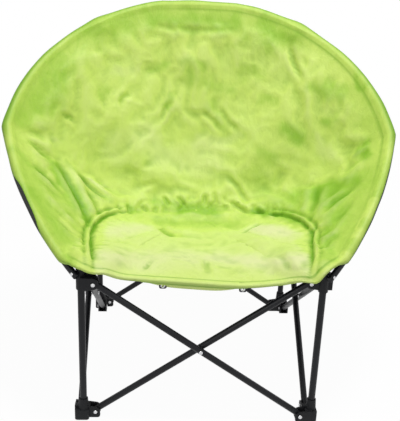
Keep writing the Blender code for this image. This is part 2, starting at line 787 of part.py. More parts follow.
def back_room(fullness):
    """Least room between the back panels' middle surface and the rear uprights, less what they need."""
    need = PAD_THICKNESS / 2.0 + UPRIGHT_RADIUS + BACK_TO_UPRIGHT
    bowl = Vector((0.0, BOWL_UP))
    border = [edge for edge, outward, hem in back_border()]
    line = rear_upright_path(1.0)
    top = clamp_frame(1.0).translation.z - CLAMP_POCKET
    room = BOWL_DEPTH
    for start, end in zip(line, line[1:]):
        for i in range(BEND_STEPS):
            point = start.lerp(end, i / BEND_STEPS)
            y = point.y - RIM_Y
            z = point.z - RIM_Z
            ray = Vector((point.x, y * math.cos(TILT) + z * math.sin(TILT))) - bowl
            depth = y * math.sin(TILT) - z * math.cos(TILT)
            for first, second in zip(border, border[1:]):
                edge = intersect_line_line_2d(bowl, bowl + ray * 100.0, first, second)
                if edge is None or point.z > top:
                    continue
                reach = (edge - bowl).length
                row = ray.length / reach
                surface = BOWL_DEPTH * (1.0 - bowl_rise(row, fullness))
                outer = BOWL_DEPTH * (1.0 - bowl_rise(row + FIT_GAP / reach, fullness))
                slope = (surface - outer) / FIT_GAP
                room = min(room, (depth - surface) / math.hypot(1.0, slope) - need)
    return room


def back_fullness():
    """The fullness at which the back panels just keep clear of the rear uprights."""
    low = 0.5
    high = WING_FULLNESS
    for i in range(24):
        middle = (low + high) / 2.0
        if back_room(middle) > 0.0:
            low = middle
        else:
            high = middle
    return low


def panel_rows():
    """Shares of the way from the bowl's lowest point to the rim, closer together near the rim."""
    return [0.0, 0.1, 0.22, 0.36, 0.5, 0.63, 0.75, 0.86, 0.95, 1.0]


def panel_surface(front, side):
    """The middle surface of one quarter of the cover, a fan from the bowl's lowest point to the rim."""
    border = front_border() if front else back_border()
    rows = panel_rows()
    columns = len(border) - 1
    ring = len(rows)
    bm = bmesh.new()
    bmesh.ops.create_grid(bm, x_segments=columns, y_segments=ring, size=1.0)
    weights = bm.verts.layers.deform.verify()
    bowl = Vector((-SEAM_TRIM, BOWL_UP + (SEAM_TRIM if front else -SEAM_TRIM)))
    fullness = SEAT_FULLNESS if front else back_fullness()
    for vert in bm.verts:
        i = round((vert.co.x + 1.0) / 2.0 * columns)
        j = round((vert.co.y + 1.0) / 2.0 * ring)
        edge, outward, hem = border[i]
        turn = i / columns
        row = rows[min(j, ring - 1)]
        ease = smooth_step(1.25 * turn) if front else smooth_step(2.3 * turn)
        power = WING_FULLNESS + (fullness - WING_FULLNESS) * ease
        sag = HEM_SAG * smooth_step(1.5 * hem)
        depth = sag + (BOWL_DEPTH - sag) * (1.0 - bowl_rise(row, power))
        wing = math.sin(math.pi * min(1.0, 1.9 * turn)) ** 2 if turn < 0.53 else 0.0
        fold = FOLD_HEIGHT * wing * smooth_step(2.0 * row - 0.6) * (1.0 - row ** 6)
        depth += fold * math.sin(2.0 * math.pi * FOLD_COUNT * turn)
        place = bowl.lerp(edge, row)
        if j == ring:
            lump = RIM_LUMP * math.cos(2.0 * math.pi * RIM_LUMPS * turn)
            place = edge + outward * (ROLL_OUT + lump)
        vert.co = mirrored(on_rim(place, depth), side)
        seam = math.exp(-((turn - 0.55) / 0.06) ** 2) * smooth_step(3.0 * row - 0.6) if front else 0.0
        seam = max(seam, math.exp(-((row - 0.9) / 0.03) ** 2))
        vert[weights][0] = 1.0 - seam
    bmesh.ops.remove_doubles(bm, verts=bm.verts, dist=0.0001)
    if side > 0:
        bmesh.ops.reverse_faces(bm, faces=bm.faces)
    return from_bmesh("panel", bm)


def seam_cutters(front, side):
    """Half spaces past the two seams of a cover panel: the middle line and the line to the rim corner."""
    far = 2.0 * RIM_TOP_UP
    half = SEAM_GAP / 2.0
    edges = sorted((-far * side, half * side))
    middle = block("middle_seam", Vector((edges[0], -far, -far)), Vector((edges[1], far, far)))
    bowl = on_rim(Vector((0.0, BOWL_UP)))
    along = mirrored(on_rim(RIM_CORNER) - bowl, side).normalized()
    normal = on_rim(Vector((0.0, 0.0)), -1.0) - on_rim(Vector((0.0, 0.0)))
    across = (normal.cross(along) * side).normalized()
    frame = Matrix((along, across, along.cross(across))).transposed().to_4x4()
    frame.translation = bowl
    low = -half if front else -far
    high = far if front else half
    corner = block("corner_seam", Vector((-far, low, -far)), Vector((far, high, far)))
    corner.matrix_world = frame
    return [middle, corner]


def tab_frame(side):
    """Placement of an eyelet tab: local X across the chair, local Y up, origin at the pad's underside."""
    place = mirrored(on_rim(Vector((TAB_SPACING / 2.0, HEM_UP + TAB_INSET)), HEM_SAG), side)
    frame = Matrix.Rotation(math.radians(90.0), 4, "X")
    frame.translation = place - Vector((0.0, 0.0, PAD_THICKNESS / 2.0))
    return frame


def tab_space(side):
    """The pocket in the hem that the tab's upper end is sewn into."""
    half = TAB_WIDTH / 2.0 + FIT_GAP
    thick = TAB_THICKNESS / 2.0 + FIT_GAP
    low = Vector((-half, -2.0 * PAD_THICKNESS, -thick))
    space = block("tab_space", low, Vector((half, TAB_TUCK + FIT_GAP, thick)))
    space.matrix_world = tab_frame(side)
    return space


def tab_mesh(side):
    """A webbing tab with rounded lower corners and an eyelet hole."""
    half = TAB_WIDTH / 2.0
    outline = [(-half, TAB_TUCK)]
    for way, first in ((-1.0, 180.0), (1.0, 270.0)):
        for i in range(4):
            angle = math.radians(first + 30.0 * i)
            x = way * (half - TAB_CORNER) + TAB_CORNER * math.cos(angle)
            outline.append((x, TAB_CORNER - TAB_DROP + TAB_CORNER * math.sin(angle)))
    outline.append((half, TAB_TUCK))
    frame = tab_frame(side)
    body = plate("tab", outline, TAB_THICKNESS, frame)
    through = frame.to_3x3() @ Vector((0.0, 0.0, TAB_THICKNESS))
    centre = frame @ Vector((0.0, TAB_HOLE_UP - TAB_DROP, 0.0))
    hole = rod("eyelet", TAB_HOLE_RADIUS, centre - through, centre + through, RIVET_SIDES)
    return taken_mesh(combine(body, [hole], "DIFFERENCE"))


def panel_mesh(front, side):
    """One padded quarter of the cover, with channels, a rounded rim roll and a tunnel for its arm."""
    body = panel_surface(front, side)
    group = body.vertex_groups.new(name="fill")
    pad = body.modifiers.new("Pad", "SOLIDIFY")
    pad.thickness = PAD_THICKNESS
    pad.offset = 0.0
    pad.use_even_offset = True
    pad.vertex_group = group.name
    pad.thickness_vertex_group = PAD_CHANNEL_SHARE
    bevel = body.modifiers.new("Ease", "BEVEL")
    bevel.width = PAD_EDGE_ROUND
    bevel.segments = 2
    bevel.limit_method = "ANGLE"
    bevel.angle_limit = math.radians(65.0)
    body = as_mesh(body)
    if front:
        path = stretched(lower_arm_path(side), 0.0, 2.0 * ARM_END_GAP)
    else:
        path = stretched(upper_arm_path(side), 2.0 * ARM_END_GAP, FIT_GAP)
    cutters = [tube("tunnel", path, ARM_RADIUS + FIT_GAP)] + seam_cutters(front, side)
    cutters += [tab_space(side)] if front else clamp_space(side)
    return taken_mesh(combine(body, cutters, "DIFFERENCE"))


def base_pivots():
    """World points of the joints of the base, by the name of the body that each carries."""
    low = FOOT_PIVOT_HEIGHT
    high = HUB_PIVOT_HEIGHT
    middle = (low + high) / 2.0
    near = -HALF_BASE + PIVOT_INSET
    far = HALF_BASE - PIVOT_INSET
    outer = -LAYER_OFFSET
    inner = LAYER_OFFSET
    return {
        "front_left_leg": corner_place(0).translation,
        "cross_front_inner": side_point(0, near, inner, low),
        "cross_front_outer": side_point(0, 0.0, 0.0, middle),
        "front_right_leg": side_point(0, far, outer, low),
        "front_left_hub": side_point(0, near, outer, high),
        "front_right_hub": side_point(0, far, inner, high),
        "cross_left_outer": side_point(3, far, outer, low),
        "cross_left_inner": side_point(3, 0.0, 0.0, middle),
        "rear_left_leg": side_point(3, near, inner, low),
        "rear_left_hub": side_point(3, near, outer, high),
        "cross_right_inner": side_point(1, near, inner, low),
        "cross_right_outer": side_point(1, 0.0, 0.0, middle),
        "rear_right_leg": side_point(1, far, outer, low),
        "rear_right_hub": side_point(1, far, inner, high),
        "cross_rear_outer": side_point(2, far, outer, low),
        "cross_rear_inner": side_point(2, 0.0, 0.0, middle),
    }


def build_corners(bodies):
    """Feet, hubs, uprights, slides and the rivets that hold the cross tubes' ends."""
    foot = foot_mesh()
    hubs = {True: hub_mesh(HUB_RISE, True), False: hub_mesh(REAR_HUB_RISE, False)}
    rivet = rivet_mesh(CLEVIS_WIDTH + 2.0 * FIT_GAP)
    arm_rivet = rivet_mesh(HUB_COLLAR_RADIUS + ARM_OFFSET + ARM_RADIUS + 2.0 * FIT_GAP)
    upright = front_upright_mesh()
    slide = front_slide_mesh()
    for index, corner in enumerate(CORNERS):
        front = index < 2
        leg = bodies[corner + "_leg"]
        hub = bodies[corner + "_hub"]
        at_foot = corner_place(index, FOOT_PIVOT_HEIGHT)
        at_hub = corner_place(index, HUB_PIVOT_HEIGHT)
        piece("foot_" + corner, foot, corner_place(index), PLASTIC, leg)
        piece("hub_" + corner, hubs[front], at_hub, PLASTIC, hub)
        for letter, frame in zip("ab", clevis_frames(LAYER_OFFSET)):
            pin = at_foot @ frame @ Matrix.Translation((PIVOT_INSET, 0.0, 0.0))
            piece("foot_rivet_" + corner + "_" + letter, rivet, pin, STEEL, leg)
        for letter, frame in zip("ab", clevis_frames(-LAYER_OFFSET)):
            pin = at_hub @ frame @ Matrix.Translation((PIVOT_INSET, 0.0, 0.0))
            piece("hub_rivet_" + corner + "_" + letter, rivet, pin, STEEL, hub)
        if front:
            piece("upright_" + corner, upright, corner_place(index), COATED, leg)
            piece("slide_" + corner, slide, at_hub, COATED, hub)
            line = Vector((-DIAGONAL, -DIAGONAL, 0.0))
            rise = Vector((0.0, 0.0, ARM_RIVET_RISE))
            inner = rise - line * (HUB_COLLAR_RADIUS + FIT_GAP)
            pin = between(inner, rise + line * (ARM_OFFSET + ARM_RADIUS + FIT_GAP))
            piece("arm_rivet_" + corner, arm_rivet, at_hub @ pin, STEEL, hub)
        else:
            side = 1.0 if corner.endswith("right") else -1.0
            piece("upright_" + corner, rear_upright_mesh(side), Matrix(), COATED, leg)


def build_crosses(bodies):
    """The eight cross tubes and the rivets where each pair crosses."""
    cross = cross_mesh()
    grip = 2.0 * (LAYER_OFFSET + CROSS_RADIUS + FIT_GAP)
    washer = 2.0 * (LAYER_OFFSET - CROSS_RADIUS - FIT_GAP)
    rivet = rivet_mesh(grip, washer)
    slope = math.atan2(PIVOT_RISE, SIDE_SPAN)
    middle = (FOOT_PIVOT_HEIGHT + HUB_PIVOT_HEIGHT) / 2.0
    for index, side in enumerate(SIDES):
        for name, layer, tilt in (("outer", -LAYER_OFFSET, slope), ("inner", LAYER_OFFSET, -slope)):
            place = Matrix.Translation((0.0, -HALF_BASE + layer, middle)) @ Matrix.Rotation(tilt, 4, "Y")
            carrier = bodies["cross_" + side + "_" + name]
            piece("cross_" + side + "_" + name, cross, side_turn(index) @ place, COATED, carrier)
        pin = Matrix.Translation((0.0, -HALF_BASE, middle)) @ Matrix.Rotation(math.radians(90.0), 4, "X")
        piece("cross_rivet_" + side, rivet, side_turn(index) @ pin, STEEL, bodies["cross_" + side + "_outer"])


def build_rim():
    """The four rim arms with their clamps, rivets and cover panels."""
    rear_rivet = rivet_mesh(2.0 * (UPRIGHT_RADIUS + CLAMP_EAR_THICKNESS + 2.0 * FIT_GAP))
    legs = {1.0: "rear_right_leg", -1.0: "rear_left_leg"}
    for name, side in (("left", -1.0), ("right", 1.0)):
        lower = pivot_empty("lower_arm_" + name, mirrored(on_rim(RIM_FOOT), side))
        piece("lower_arm_" + name, lower_arm_mesh(side), Matrix(), COATED, lower)
        piece("cover_front_" + name, panel_mesh(True, side), Matrix(), LIME, lower, 60.0)
        piece("eyelet_tab_" + name, tab_mesh(side), Matrix(), WEB, lower)
        frame = clamp_frame(side)
        upper = pivot_empty("upper_arm_" + name, frame.translation)
        arm = taken_mesh(tube("upper_arm", upper_arm_path(side), ARM_RADIUS))
        piece("upper_arm_" + name, arm, Matrix(), COATED, upper)
        piece("arm_clamp_" + name, clamp_mesh(side), frame, PLASTIC, upper)
        piece("cover_back_" + name, panel_mesh(False, side), Matrix(), LIME, upper, 60.0)
        pin = frame @ Matrix.Rotation(math.radians(90.0), 4, "X")
        leg = bpy.data.objects[legs[side] + "_pivot"]
        piece("clamp_rivet_" + name, rear_rivet, pin, STEEL, leg)


def build_chair():
    """Build every body of the chair."""
    bodies = {name: pivot_empty(name, place) for name, place in base_pivots().items()}
    build_corners(bodies)
    build_crosses(bodies)
    build_rim()


build_chair()
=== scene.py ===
import json
import math

import bmesh
import bpy
import numpy as np
from bpy.props import FloatProperty, FloatVectorProperty, IntProperty, PointerProperty
from mathutils import Matrix, Vector


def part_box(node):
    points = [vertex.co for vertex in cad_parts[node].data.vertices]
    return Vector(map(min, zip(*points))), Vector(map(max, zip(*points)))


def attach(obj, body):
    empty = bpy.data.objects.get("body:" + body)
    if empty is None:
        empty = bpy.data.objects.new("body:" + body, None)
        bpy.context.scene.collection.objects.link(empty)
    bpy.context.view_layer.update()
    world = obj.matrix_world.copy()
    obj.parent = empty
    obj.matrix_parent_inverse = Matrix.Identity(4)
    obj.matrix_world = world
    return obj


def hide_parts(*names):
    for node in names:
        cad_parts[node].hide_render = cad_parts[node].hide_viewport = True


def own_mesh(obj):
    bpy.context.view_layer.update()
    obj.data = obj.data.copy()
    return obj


bl_info = {
    "name": "Round folding camping chair",
    "version": (1, 0, 0),
    "blender": (4, 5, 0),
    "location": "View3D > Sidebar > Chair",
    "description": "Dresses the folding frame with its padded lime cover, tubes, mouldings and rivets",
    "category": "Object",
}

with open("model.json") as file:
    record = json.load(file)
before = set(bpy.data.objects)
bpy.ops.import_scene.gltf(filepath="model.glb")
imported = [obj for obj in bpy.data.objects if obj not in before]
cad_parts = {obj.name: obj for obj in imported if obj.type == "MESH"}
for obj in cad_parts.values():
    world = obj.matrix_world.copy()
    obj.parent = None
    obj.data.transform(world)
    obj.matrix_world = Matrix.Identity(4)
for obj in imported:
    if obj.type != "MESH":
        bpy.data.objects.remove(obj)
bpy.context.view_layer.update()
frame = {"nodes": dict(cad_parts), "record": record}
RECORD = frame["record"]
JOINTS = {joint["name"]: joint for joint in RECORD["behaviour"]["joints"]}
FULL_TURN = 2.0 * math.pi


def joint_place(name):
    """World point of a joint at rest."""
    return Vector(JOINTS[name]["pos_m"])


# Places that the frame gives
ARM_PIVOT = joint_place("lower_arm_right_swing")
BASE_Y = joint_place("left_cross").y
HALF_BASE = -joint_place("left_cross").x
PIVOT_REACH = -joint_place("front_left_hub_pivot").x
HUB_HEIGHT = joint_place("front_left_hub_pivot").z
FOOT_HEIGHT = joint_place("fold").z
LAYER = BASE_Y - HALF_BASE - joint_place("front_left_hub_pivot").y

# Rim drawn in its tilted plane: x across, u up the slope from the arm rivets
TILT = math.radians(37.0)
RIM_CORNER = (0.437, 0.365)
RIM_TOP = (0.092, 0.758)
RIM_CORNER_HEADING = math.radians(94.5)
BOWL_UP = 0.305
BOWL_DEPTH = 0.258
BOWL_ROUND = 0.32
WING_FULLNESS = 2.8
SEAT_FULLNESS = 1.2
BACK_FULLNESS = 1.079

# Sewing lines of the cover, in rim plane coordinates, the hems with a depth below the plane
RIGHT_HEM = [(0.0, -0.0080, 0.0225), (0.040, -0.0095, 0.0245), (0.080, -0.0105, 0.0255),
             (0.1165, -0.0097, 0.0240), (0.150, -0.0074, 0.0205), (0.178, -0.0075, 0.0150),
             (0.199, -0.0105, 0.0080), (0.2135, -0.0140, 0.0015), (0.2255, -0.0160, -0.0035),
             (0.2340, -0.0115, -0.0085), (0.2430, -0.0025, -0.0140), (0.2560, 0.0080, -0.0170),
             (0.2700, 0.0195, -0.0140), (0.2835, 0.0320, -0.0060)]
LEFT_HEM = [(0.0, -0.0080, 0.0225), (0.040, -0.0066, 0.0200), (0.075, -0.0052, 0.0182),
            (0.110, -0.0040, 0.0168), (0.150, -0.0023, 0.0145), (0.184, -0.0010, 0.0110),
            (0.200, -0.0012, 0.0055), (0.215, -0.0030, 0.0005), (0.232, -0.0030, -0.0080),
            (0.243, 0.0000, -0.0155), (0.255, 0.0035, -0.0180), (0.267, 0.0120, -0.0140),
            (0.2775, 0.0220, -0.0060)]
RIGHT_SLEEVE_START = 0.052
LEFT_SLEEVE_START = 0.043
LEFT_ARCH = [(-0.223, -0.01), (-0.227, 0.025), (-0.243, 0.119), (-0.247, 0.158), (-0.241, 0.196),
             (-0.229, 0.226), (-0.215, 0.248), (-0.194, 0.264), (-0.171, 0.273)]
RIGHT_ARCH = [(0.212, -0.013), (0.219, 0.014), (0.243, 0.092), (0.259, 0.154), (0.255, 0.184),
              (0.245, 0.217), (0.226, 0.246), (0.205, 0.264), (0.18, 0.275)]
SEAT_BACK_LINE = [(-0.17, 0.276), (-0.129, 0.291), (-0.09, 0.294), (-0.05, 0.3), (-0.015, 0.312),
                  (0.02, 0.316), (0.06, 0.309), (0.102, 0.306), (0.133, 0.288), (0.17, 0.284),
                  (0.195, 0.271)]

# Where the brushed nap lies darker or lighter, with painted shade on facets between the wing folds: start,
# end, half width, tone
NAP_PATCHES = [
    ((-0.35, 0.335), (-0.25, 0.18), 0.018, 0.95), ((-0.42, 0.295), (-0.33, 0.255), 0.013, 0.4),
    ((-0.375, 0.195), (-0.285, 0.09), 0.022, 0.3), ((-0.125, 0.73), (0.09, 0.725), 0.02, 0.55),
    ((-0.295, 0.655), (-0.175, 0.715), 0.028, 0.4), ((-0.42, 0.395), (-0.34, 0.575), 0.032, 0.35),
    ((0.165, 0.72), (0.23, 0.67), 0.022, 0.55), ((0.18, 0.67), (0.12, 0.69), 0.023, 0.3),
    ((-0.125, 0.625), (-0.085, 0.635), 0.013, 0.6), ((-0.035, 0.65), (0.005, 0.645), 0.013, 0.5),
    ((-0.02, 0.615), (0.095, 0.59), 0.02, 0.5), ((0.11, 0.635), (0.16, 0.61), 0.019, 0.45),
    ((0.165, 0.555), (0.195, 0.54), 0.015, 0.5), ((0.285, 0.55), (0.345, 0.52), 0.016, 0.65),
    ((0.385, 0.535), (0.39, 0.51), 0.011, 0.6), ((0.225, 0.475), (0.26, 0.45), 0.017, 0.9),
    ((0.315, 0.465), (0.325, 0.46), 0.014, 0.9), ((0.17, 0.435), (0.19, 0.42), 0.017, 0.55),
    ((0.39, 0.375), (0.4, 0.335), 0.013, 0.95), ((0.3, 0.3), (0.315, 0.245), 0.022, 1.2),
    ((0.255, 0.305), (0.355, 0.285), 0.031, 0.6), ((0.16, 0.38), (0.245, 0.235), 0.038, 0.45),
    ((0.31, 0.19), (0.245, 0.015), 0.018, 0.55), ((-0.17, 0.29), (-0.15, 0.275), 0.01, 0.55),
    ((-0.115, 0.325), (0.05, 0.31), 0.02, 0.6), ((-0.03, 0.295), (0.045, 0.29), 0.014, 0.75),
    ((0.145, 0.29), (0.195, 0.265), 0.012, 1.3), ((0.205, 0.26), (0.245, 0.21), 0.015, 0.5),
    ((-0.095, 0.255), (0.095, 0.25), 0.02, 0.55), ((-0.095, 0.23), (-0.06, 0.195), 0.014, 0.45),
    ((-0.085, 0.545), (-0.065, 0.57), 0.01, 0.6), ((-0.195, 0.53), (-0.18, 0.55), 0.008, 0.45),
    ((-0.245, 0.54), (-0.22, 0.555), 0.012, 0.4), ((-0.325, 0.54), (-0.36, 0.46), 0.022, 0.35),
    ((0.045, 0.56), (0.075, 0.51), 0.015, 0.45), ((-0.315, 0.36), (-0.29, 0.34), 0.011, 0.5),
    ((-0.255, 0.295), (-0.225, 0.29), 0.011, 0.55), ((-0.28, 0.025), (-0.26, 0.01), 0.013, 0.55),
    ((-0.095, 0.435), (0.05, 0.425), 0.049, -0.3), ((-0.22, 0.43), (-0.125, 0.49), 0.036, -0.25),
    ((0.01, 0.48), (0.115, 0.485), 0.028, -0.25), ((-0.21, 0.6), (-0.15, 0.615), 0.025, -0.25),
    ((0.28, 0.615), (0.355, 0.54), 0.022, -0.25), ((0.28, 0.445), (0.33, 0.39), 0.02, -0.3),
    ((-0.42, 0.365), (-0.35, 0.405), 0.013, -0.35), ((-0.28, 0.215), (-0.265, 0.17), 0.008, -0.7),
    ((-0.35, 0.28), (-0.325, 0.25), 0.008, -0.6), ((-0.27, 0.345), (-0.235, 0.335), 0.01, -0.4),
    ((-0.305, 0.155), (-0.28, 0.125), 0.009, -0.5), ((-0.215, 0.17), (-0.125, 0.215), 0.021, -0.38),
    ((0.155, 0.205), (0.225, 0.16), 0.023, -0.55), ((-0.2, 0.045), (-0.025, 0.09), 0.039, -0.4),
    ((0.035, 0.095), (0.205, 0.04), 0.028, -0.5), ((0.325, 0.09), (0.375, 0.18), 0.004, -0.55),
    ((0.24, -0.005), (0.295, 0.045), 0.008, -0.55),
]

# Loose folds of the wings, the back and the seat: line, height, half width
FOLDS = [
    ([(-0.355, 0.35), (-0.33, 0.335), (-0.29, 0.265), (-0.245, 0.175)], -0.0075, 0.0100),
    ([(-0.32, 0.36), (-0.27, 0.26), (-0.235, 0.195)], 0.0040, 0.0110),
    ([(-0.305, 0.345), (-0.26, 0.315), (-0.22, 0.29)], -0.0060, 0.0065),
    ([(-0.285, 0.36), (-0.24, 0.325), (-0.205, 0.3)], 0.0032, 0.0080),
    ([(-0.425, 0.325), (-0.39, 0.29), (-0.33, 0.26)], -0.0046, 0.0080),
    ([(-0.415, 0.295), (-0.365, 0.26), (-0.315, 0.225)], 0.0038, 0.0070),
    ([(-0.4, 0.245), (-0.35, 0.195), (-0.295, 0.155)], -0.0042, 0.0070),
    ([(-0.375, 0.225), (-0.325, 0.18), (-0.27, 0.15)], 0.0040, 0.0060),
    ([(-0.35, 0.175), (-0.305, 0.135), (-0.275, 0.115)], -0.0040, 0.0060),
    ([(-0.325, 0.11), (-0.295, 0.08), (-0.25, 0.04)], 0.0034, 0.0060),
    ([(0.3, 0.33), (0.285, 0.27), (0.26, 0.215)], -0.0044, 0.0100),
    ([(0.385, 0.235), (0.335, 0.17), (0.285, 0.11)], 0.0036, 0.0080),
    ([(0.36, 0.255), (0.32, 0.235), (0.29, 0.2)], -0.0040, 0.0070),
    ([(0.32, 0.12), (0.285, 0.105), (0.26, 0.075)], -0.0036, 0.0070),
    ([(0.27, 0.18), (0.265, 0.17), (0.26, 0.155)], -0.0070, 0.0055),
    ([(0.075, 0.335), (0.105, 0.31), (0.14, 0.28)], -0.0062, 0.0055),
    ([(0.075, 0.395), (0.105, 0.365), (0.135, 0.315)], -0.0034, 0.0060),
    ([(0.145, 0.29), (0.16, 0.285), (0.17, 0.28)], -0.0075, 0.0055),
    ([(0.18, 0.275), (0.19, 0.265), (0.2, 0.26)], -0.0070, 0.0050),
    ([(-0.095, 0.23), (-0.07, 0.2), (-0.055, 0.18)], -0.0050, 0.0100),
    ([(0.1, 0.19), (0.135, 0.22), (0.165, 0.24)], -0.0042, 0.0060),
    ([(-0.135, 0.0), (-0.12, 0.035), (-0.105, 0.065)], -0.0044, 0.0060),
    ([(0.015, 0.015), (0.01, 0.055), (0.01, 0.095)], -0.0030, 0.0080),
    ([(0.185, 0.0), (0.18, 0.04), (0.175, 0.085)], -0.0036, 0.0070),
    ([(-0.15, 0.715), (-0.05, 0.71), (0.045, 0.71), (0.105, 0.715)], -0.0018, 0.0060),
    ([(-0.08, 0.64), (0.0, 0.655), (0.07, 0.64)], 0.0024, 0.0200),
    ([(0.005, 0.55), (0.045, 0.52), (0.065, 0.495)], -0.0026, 0.0060),
    ([(0.05, 0.56), (0.08, 0.52), (0.115, 0.49)], -0.0026, 0.0060),
    ([(-0.095, 0.51), (-0.085, 0.54), (-0.06, 0.57)], -0.0032, 0.0060),
    ([(-0.2, 0.52), (-0.19, 0.545), (-0.17, 0.56)], -0.0030, 0.0060),
    ([(0.225, 0.66), (0.245, 0.605), (0.265, 0.565)], -0.0034, 0.0060),
    ([(-0.34, 0.46), (-0.32, 0.465), (-0.3, 0.46)], -0.0030, 0.0060),
    ([(-0.14, 0.305), (-0.12, 0.285)], -0.0050, 0.0050),
    ([(-0.085, 0.345), (-0.065, 0.31)], -0.0052, 0.0050),
    ([(-0.175, 0.3), (-0.16, 0.265)], -0.0050, 0.0050),
    ([(-0.05, 0.345), (-0.025, 0.315)], -0.0050, 0.0050),
    ([(0.02, 0.355), (0.025, 0.315)], -0.0052, 0.0052),
    ([(0.045, 0.36), (0.05, 0.32)], -0.0046, 0.0050),
    ([(-0.2, 0.29), (-0.18, 0.26)], -0.0040, 0.0050),
]

# Columns round the cover and rows out from its middle
HEM_COLUMNS = 54
LOWER_COLUMNS = 66
UPPER_COLUMNS = 84
TOP_COLUMNS = 18
FRONT_COLUMNS = HEM_COLUMNS + LOWER_COLUMNS
HALF_COLUMNS = FRONT_COLUMNS + UPPER_COLUMNS + TOP_COLUMNS
ROWS = 112
ROW_CROWDING = 1.18
LOWER_STEP = 4
CAP_ROWS = 10

# Border of the cover
TOP_RISE = 0.003
UPPER_TURN = 0.857
TOP_TURN = 0.143
FRONT_EASE = 1.25
BACK_EASE = 2.3
HEM_FADE = 0.030
SLEEVE_UNEVEN = 0.13
SLEEVE_WAVE = 0.055

# Lift of the cover over a front hub, whose collar and inner ear stand under it
COLLAR_UP = 0.015
COLLAR_FLAT = 0.013
COLLAR_LIFT = 0.0165
EAR_UP = 0.004
EAR_FLAT = 0.011
EAR_LIFT = 0.0065
EAR_LENGTH = 0.036
LIFT_SLOPE = 0.9
LIFT_BEND = 5.0
LIFT_BLEND = 0.026

# Room in the cover for the clamp of an upper arm
CLAMP_UP = 0.695
CLAMP_REACH = 0.030
CLAMP_SWELL = 0.0034
CLAMP_ROOM = 0.0085
CLAMP_INSET = 0.012
CLAMP_WIDTH = 0.016

# Thickness of the pad
HEM_NECK = 0.0040
HEM_STITCH = 0.20
UNDER_FILL = 0.0085
FILL_REACH = 0.055
UNDER_SLACK = 0.0016
UNDER_WAVE = 0.08
LEAST_SHARE = 0.25
LEAST_BLEND = 0.003

# Seat lobes, arch seams with their welts, and the dip between seat and back
LOBE_OUT = 0.150
LOBE_UP = 0.165
LOBE_WIDTH = 0.070
LOBE_LENGTH = 0.075
SEAT_MIDDLE_UP = 0.06
ARCH_FADE = 0.05
ARCH_END = 0.25
SEAM_WIDTH = 0.0042
ARCH_DIP = 0.007
ARCH_DIP_WIDTH = 0.024
WELT_OUT = 0.0075
WELT_HEIGHT = 0.0052
WELT_WIDTH = 0.0050
OUTER_SEAM_OUT = 0.0150
OUTER_SEAM_SHARE = 0.55
PUCKER_HEIGHT = 0.0010
PUCKER_STEP = 0.024
PUCKER_OUT = 0.022
PUCKER_WIDTH = 0.012
PUCKER_STRAY = 2.6
PUCKER_WAVE = 0.05
SEAT_BACK_DIP = 0.0055
SEAT_BACK_WIDTH = 0.014

# Folds and darts
FOLD_FADE = 0.3
FOLD_BANK = 0.45
DART_COUNT = 9.0
DART_AWAY = 0.055
DART_REACH = 0.045
DART_LEAN = 0.7
LEFT_DART = 0.0036
RIGHT_DART = 0.0022
FORM_LEAST = 0.12

# Edges where an effect begins or ends: a place, and the reach over which it eases
FORM_EDGE = (0.018, 0.030)
CRINKLE_EDGE = (0.012, 0.03)
SLACK_EDGE = (0.01, 0.03)
HELD_EDGE = (0.020, 0.022)
CALM_TOP = (0.29, 0.05)
CALM_SIDE = (0.24, 0.03)
CREASE_EDGE = (0.022, 0.02)
SEAM_EDGE = (0.004, 0.01)
DARK_CORNER = (0.60, 0.2)
WING_INNER = (0.22, 0.10)
WING_TOP = (0.36, 0.12)
RIM_INNER = (0.10, 0.08)
RIM_LOW = (0.30, 0.10)
SEAT_TOP = (0.25, 0.04)
SEAT_SIDE = (0.232, 0.02)
SHADE_TOP = (0.38, 0.08)

# Creases gathered at random along the line between seat and back
GATHER_SEED = 12
GATHER_SAMPLES = 200
GATHER_FIRST = 6.0
GATHER_LAST = 196.0
GATHER_STEP = (4.0, 15.0)
GATHER_LEAN = 0.7
GATHER_UP = (0.014, 0.046)
GATHER_DOWN = (0.002, 0.012)
GATHER_HEIGHT = (0.0014, 0.0036)
GATHER_WIDTH = (0.0040, 0.0085)
GATHER_WANDER = 0.004

# Crinkles of the slack cloth
WARP_SIZE = 0.07
WARP_REACH = 0.02
BROAD_SIZE = 0.11
BROAD_HEIGHT = 0.0024
MEDIUM_SIZE = 0.048
SMALL_SIZE = 0.021

# Cloth net that is let to settle
NET_LOW = -0.02
NET_INSET = 0.008
NET_CRINKLE = 0.6
SEAM_HOLD = 0.92
SEAM_HOLD_WIDTH = 0.010
SETTLE_FRAMES = 20
SWELL_REACH = 0.045
SWELL_SHARE = 0.4
SEAT_CALM = 0.65

# Grid on which creases are measured
CREASE_STEP = 0.004
CREASE_MARGIN = 0.02
CREASE_LOW = -0.03
FINE_REACH = 4
FINE_DEPTH = 0.0020
FINE_SHARE = 0.6
BROAD_REACH = 11
BROAD_DEPTH = 0.0060
BROAD_SHARE = 0.4

# Painted shade of seams and stitched lines, and calmer painted crease shade with a thin dark line between
# seat and back
LINE_CALM = 0.55
LINE_CALM_WIDTH = 0.05
LINE_DARK = 0.10
LINE_DARK_WIDTH = 0.012
SEAM_DARK = 0.70
OUTER_SEAM_DARK = 0.50
SEAM_DARK_WIDTH = 0.0030
STITCH_DARK = 0.16
STITCH_UNEVEN = 0.22
STITCH_WAVE = 0.09
STITCH_CORNER = 0.55
STITCH_HEM = 0.75
STITCH_WIDTH = 0.0022

# Lie of the nap: how far its patches stray, as reach and size; and the painted light of whole regions:
# painted shade on the wings, near the upper rim and along the line between seat and back, painted light on
# the seat
NAP_STRAY = ((0.010, 0.034), (0.005, 0.014))
WING_PAINTED_SHADE = 0.50
RIM_PAINTED_SHADE = 0.34
SEAT_PAINTED_LIGHT = -0.30
LINE_PAINTED_SHADE = 0.22
LINE_PAINTED_SHADE_WIDTH = 0.035
PALEST = -1.0
DEEPEST = 1.7

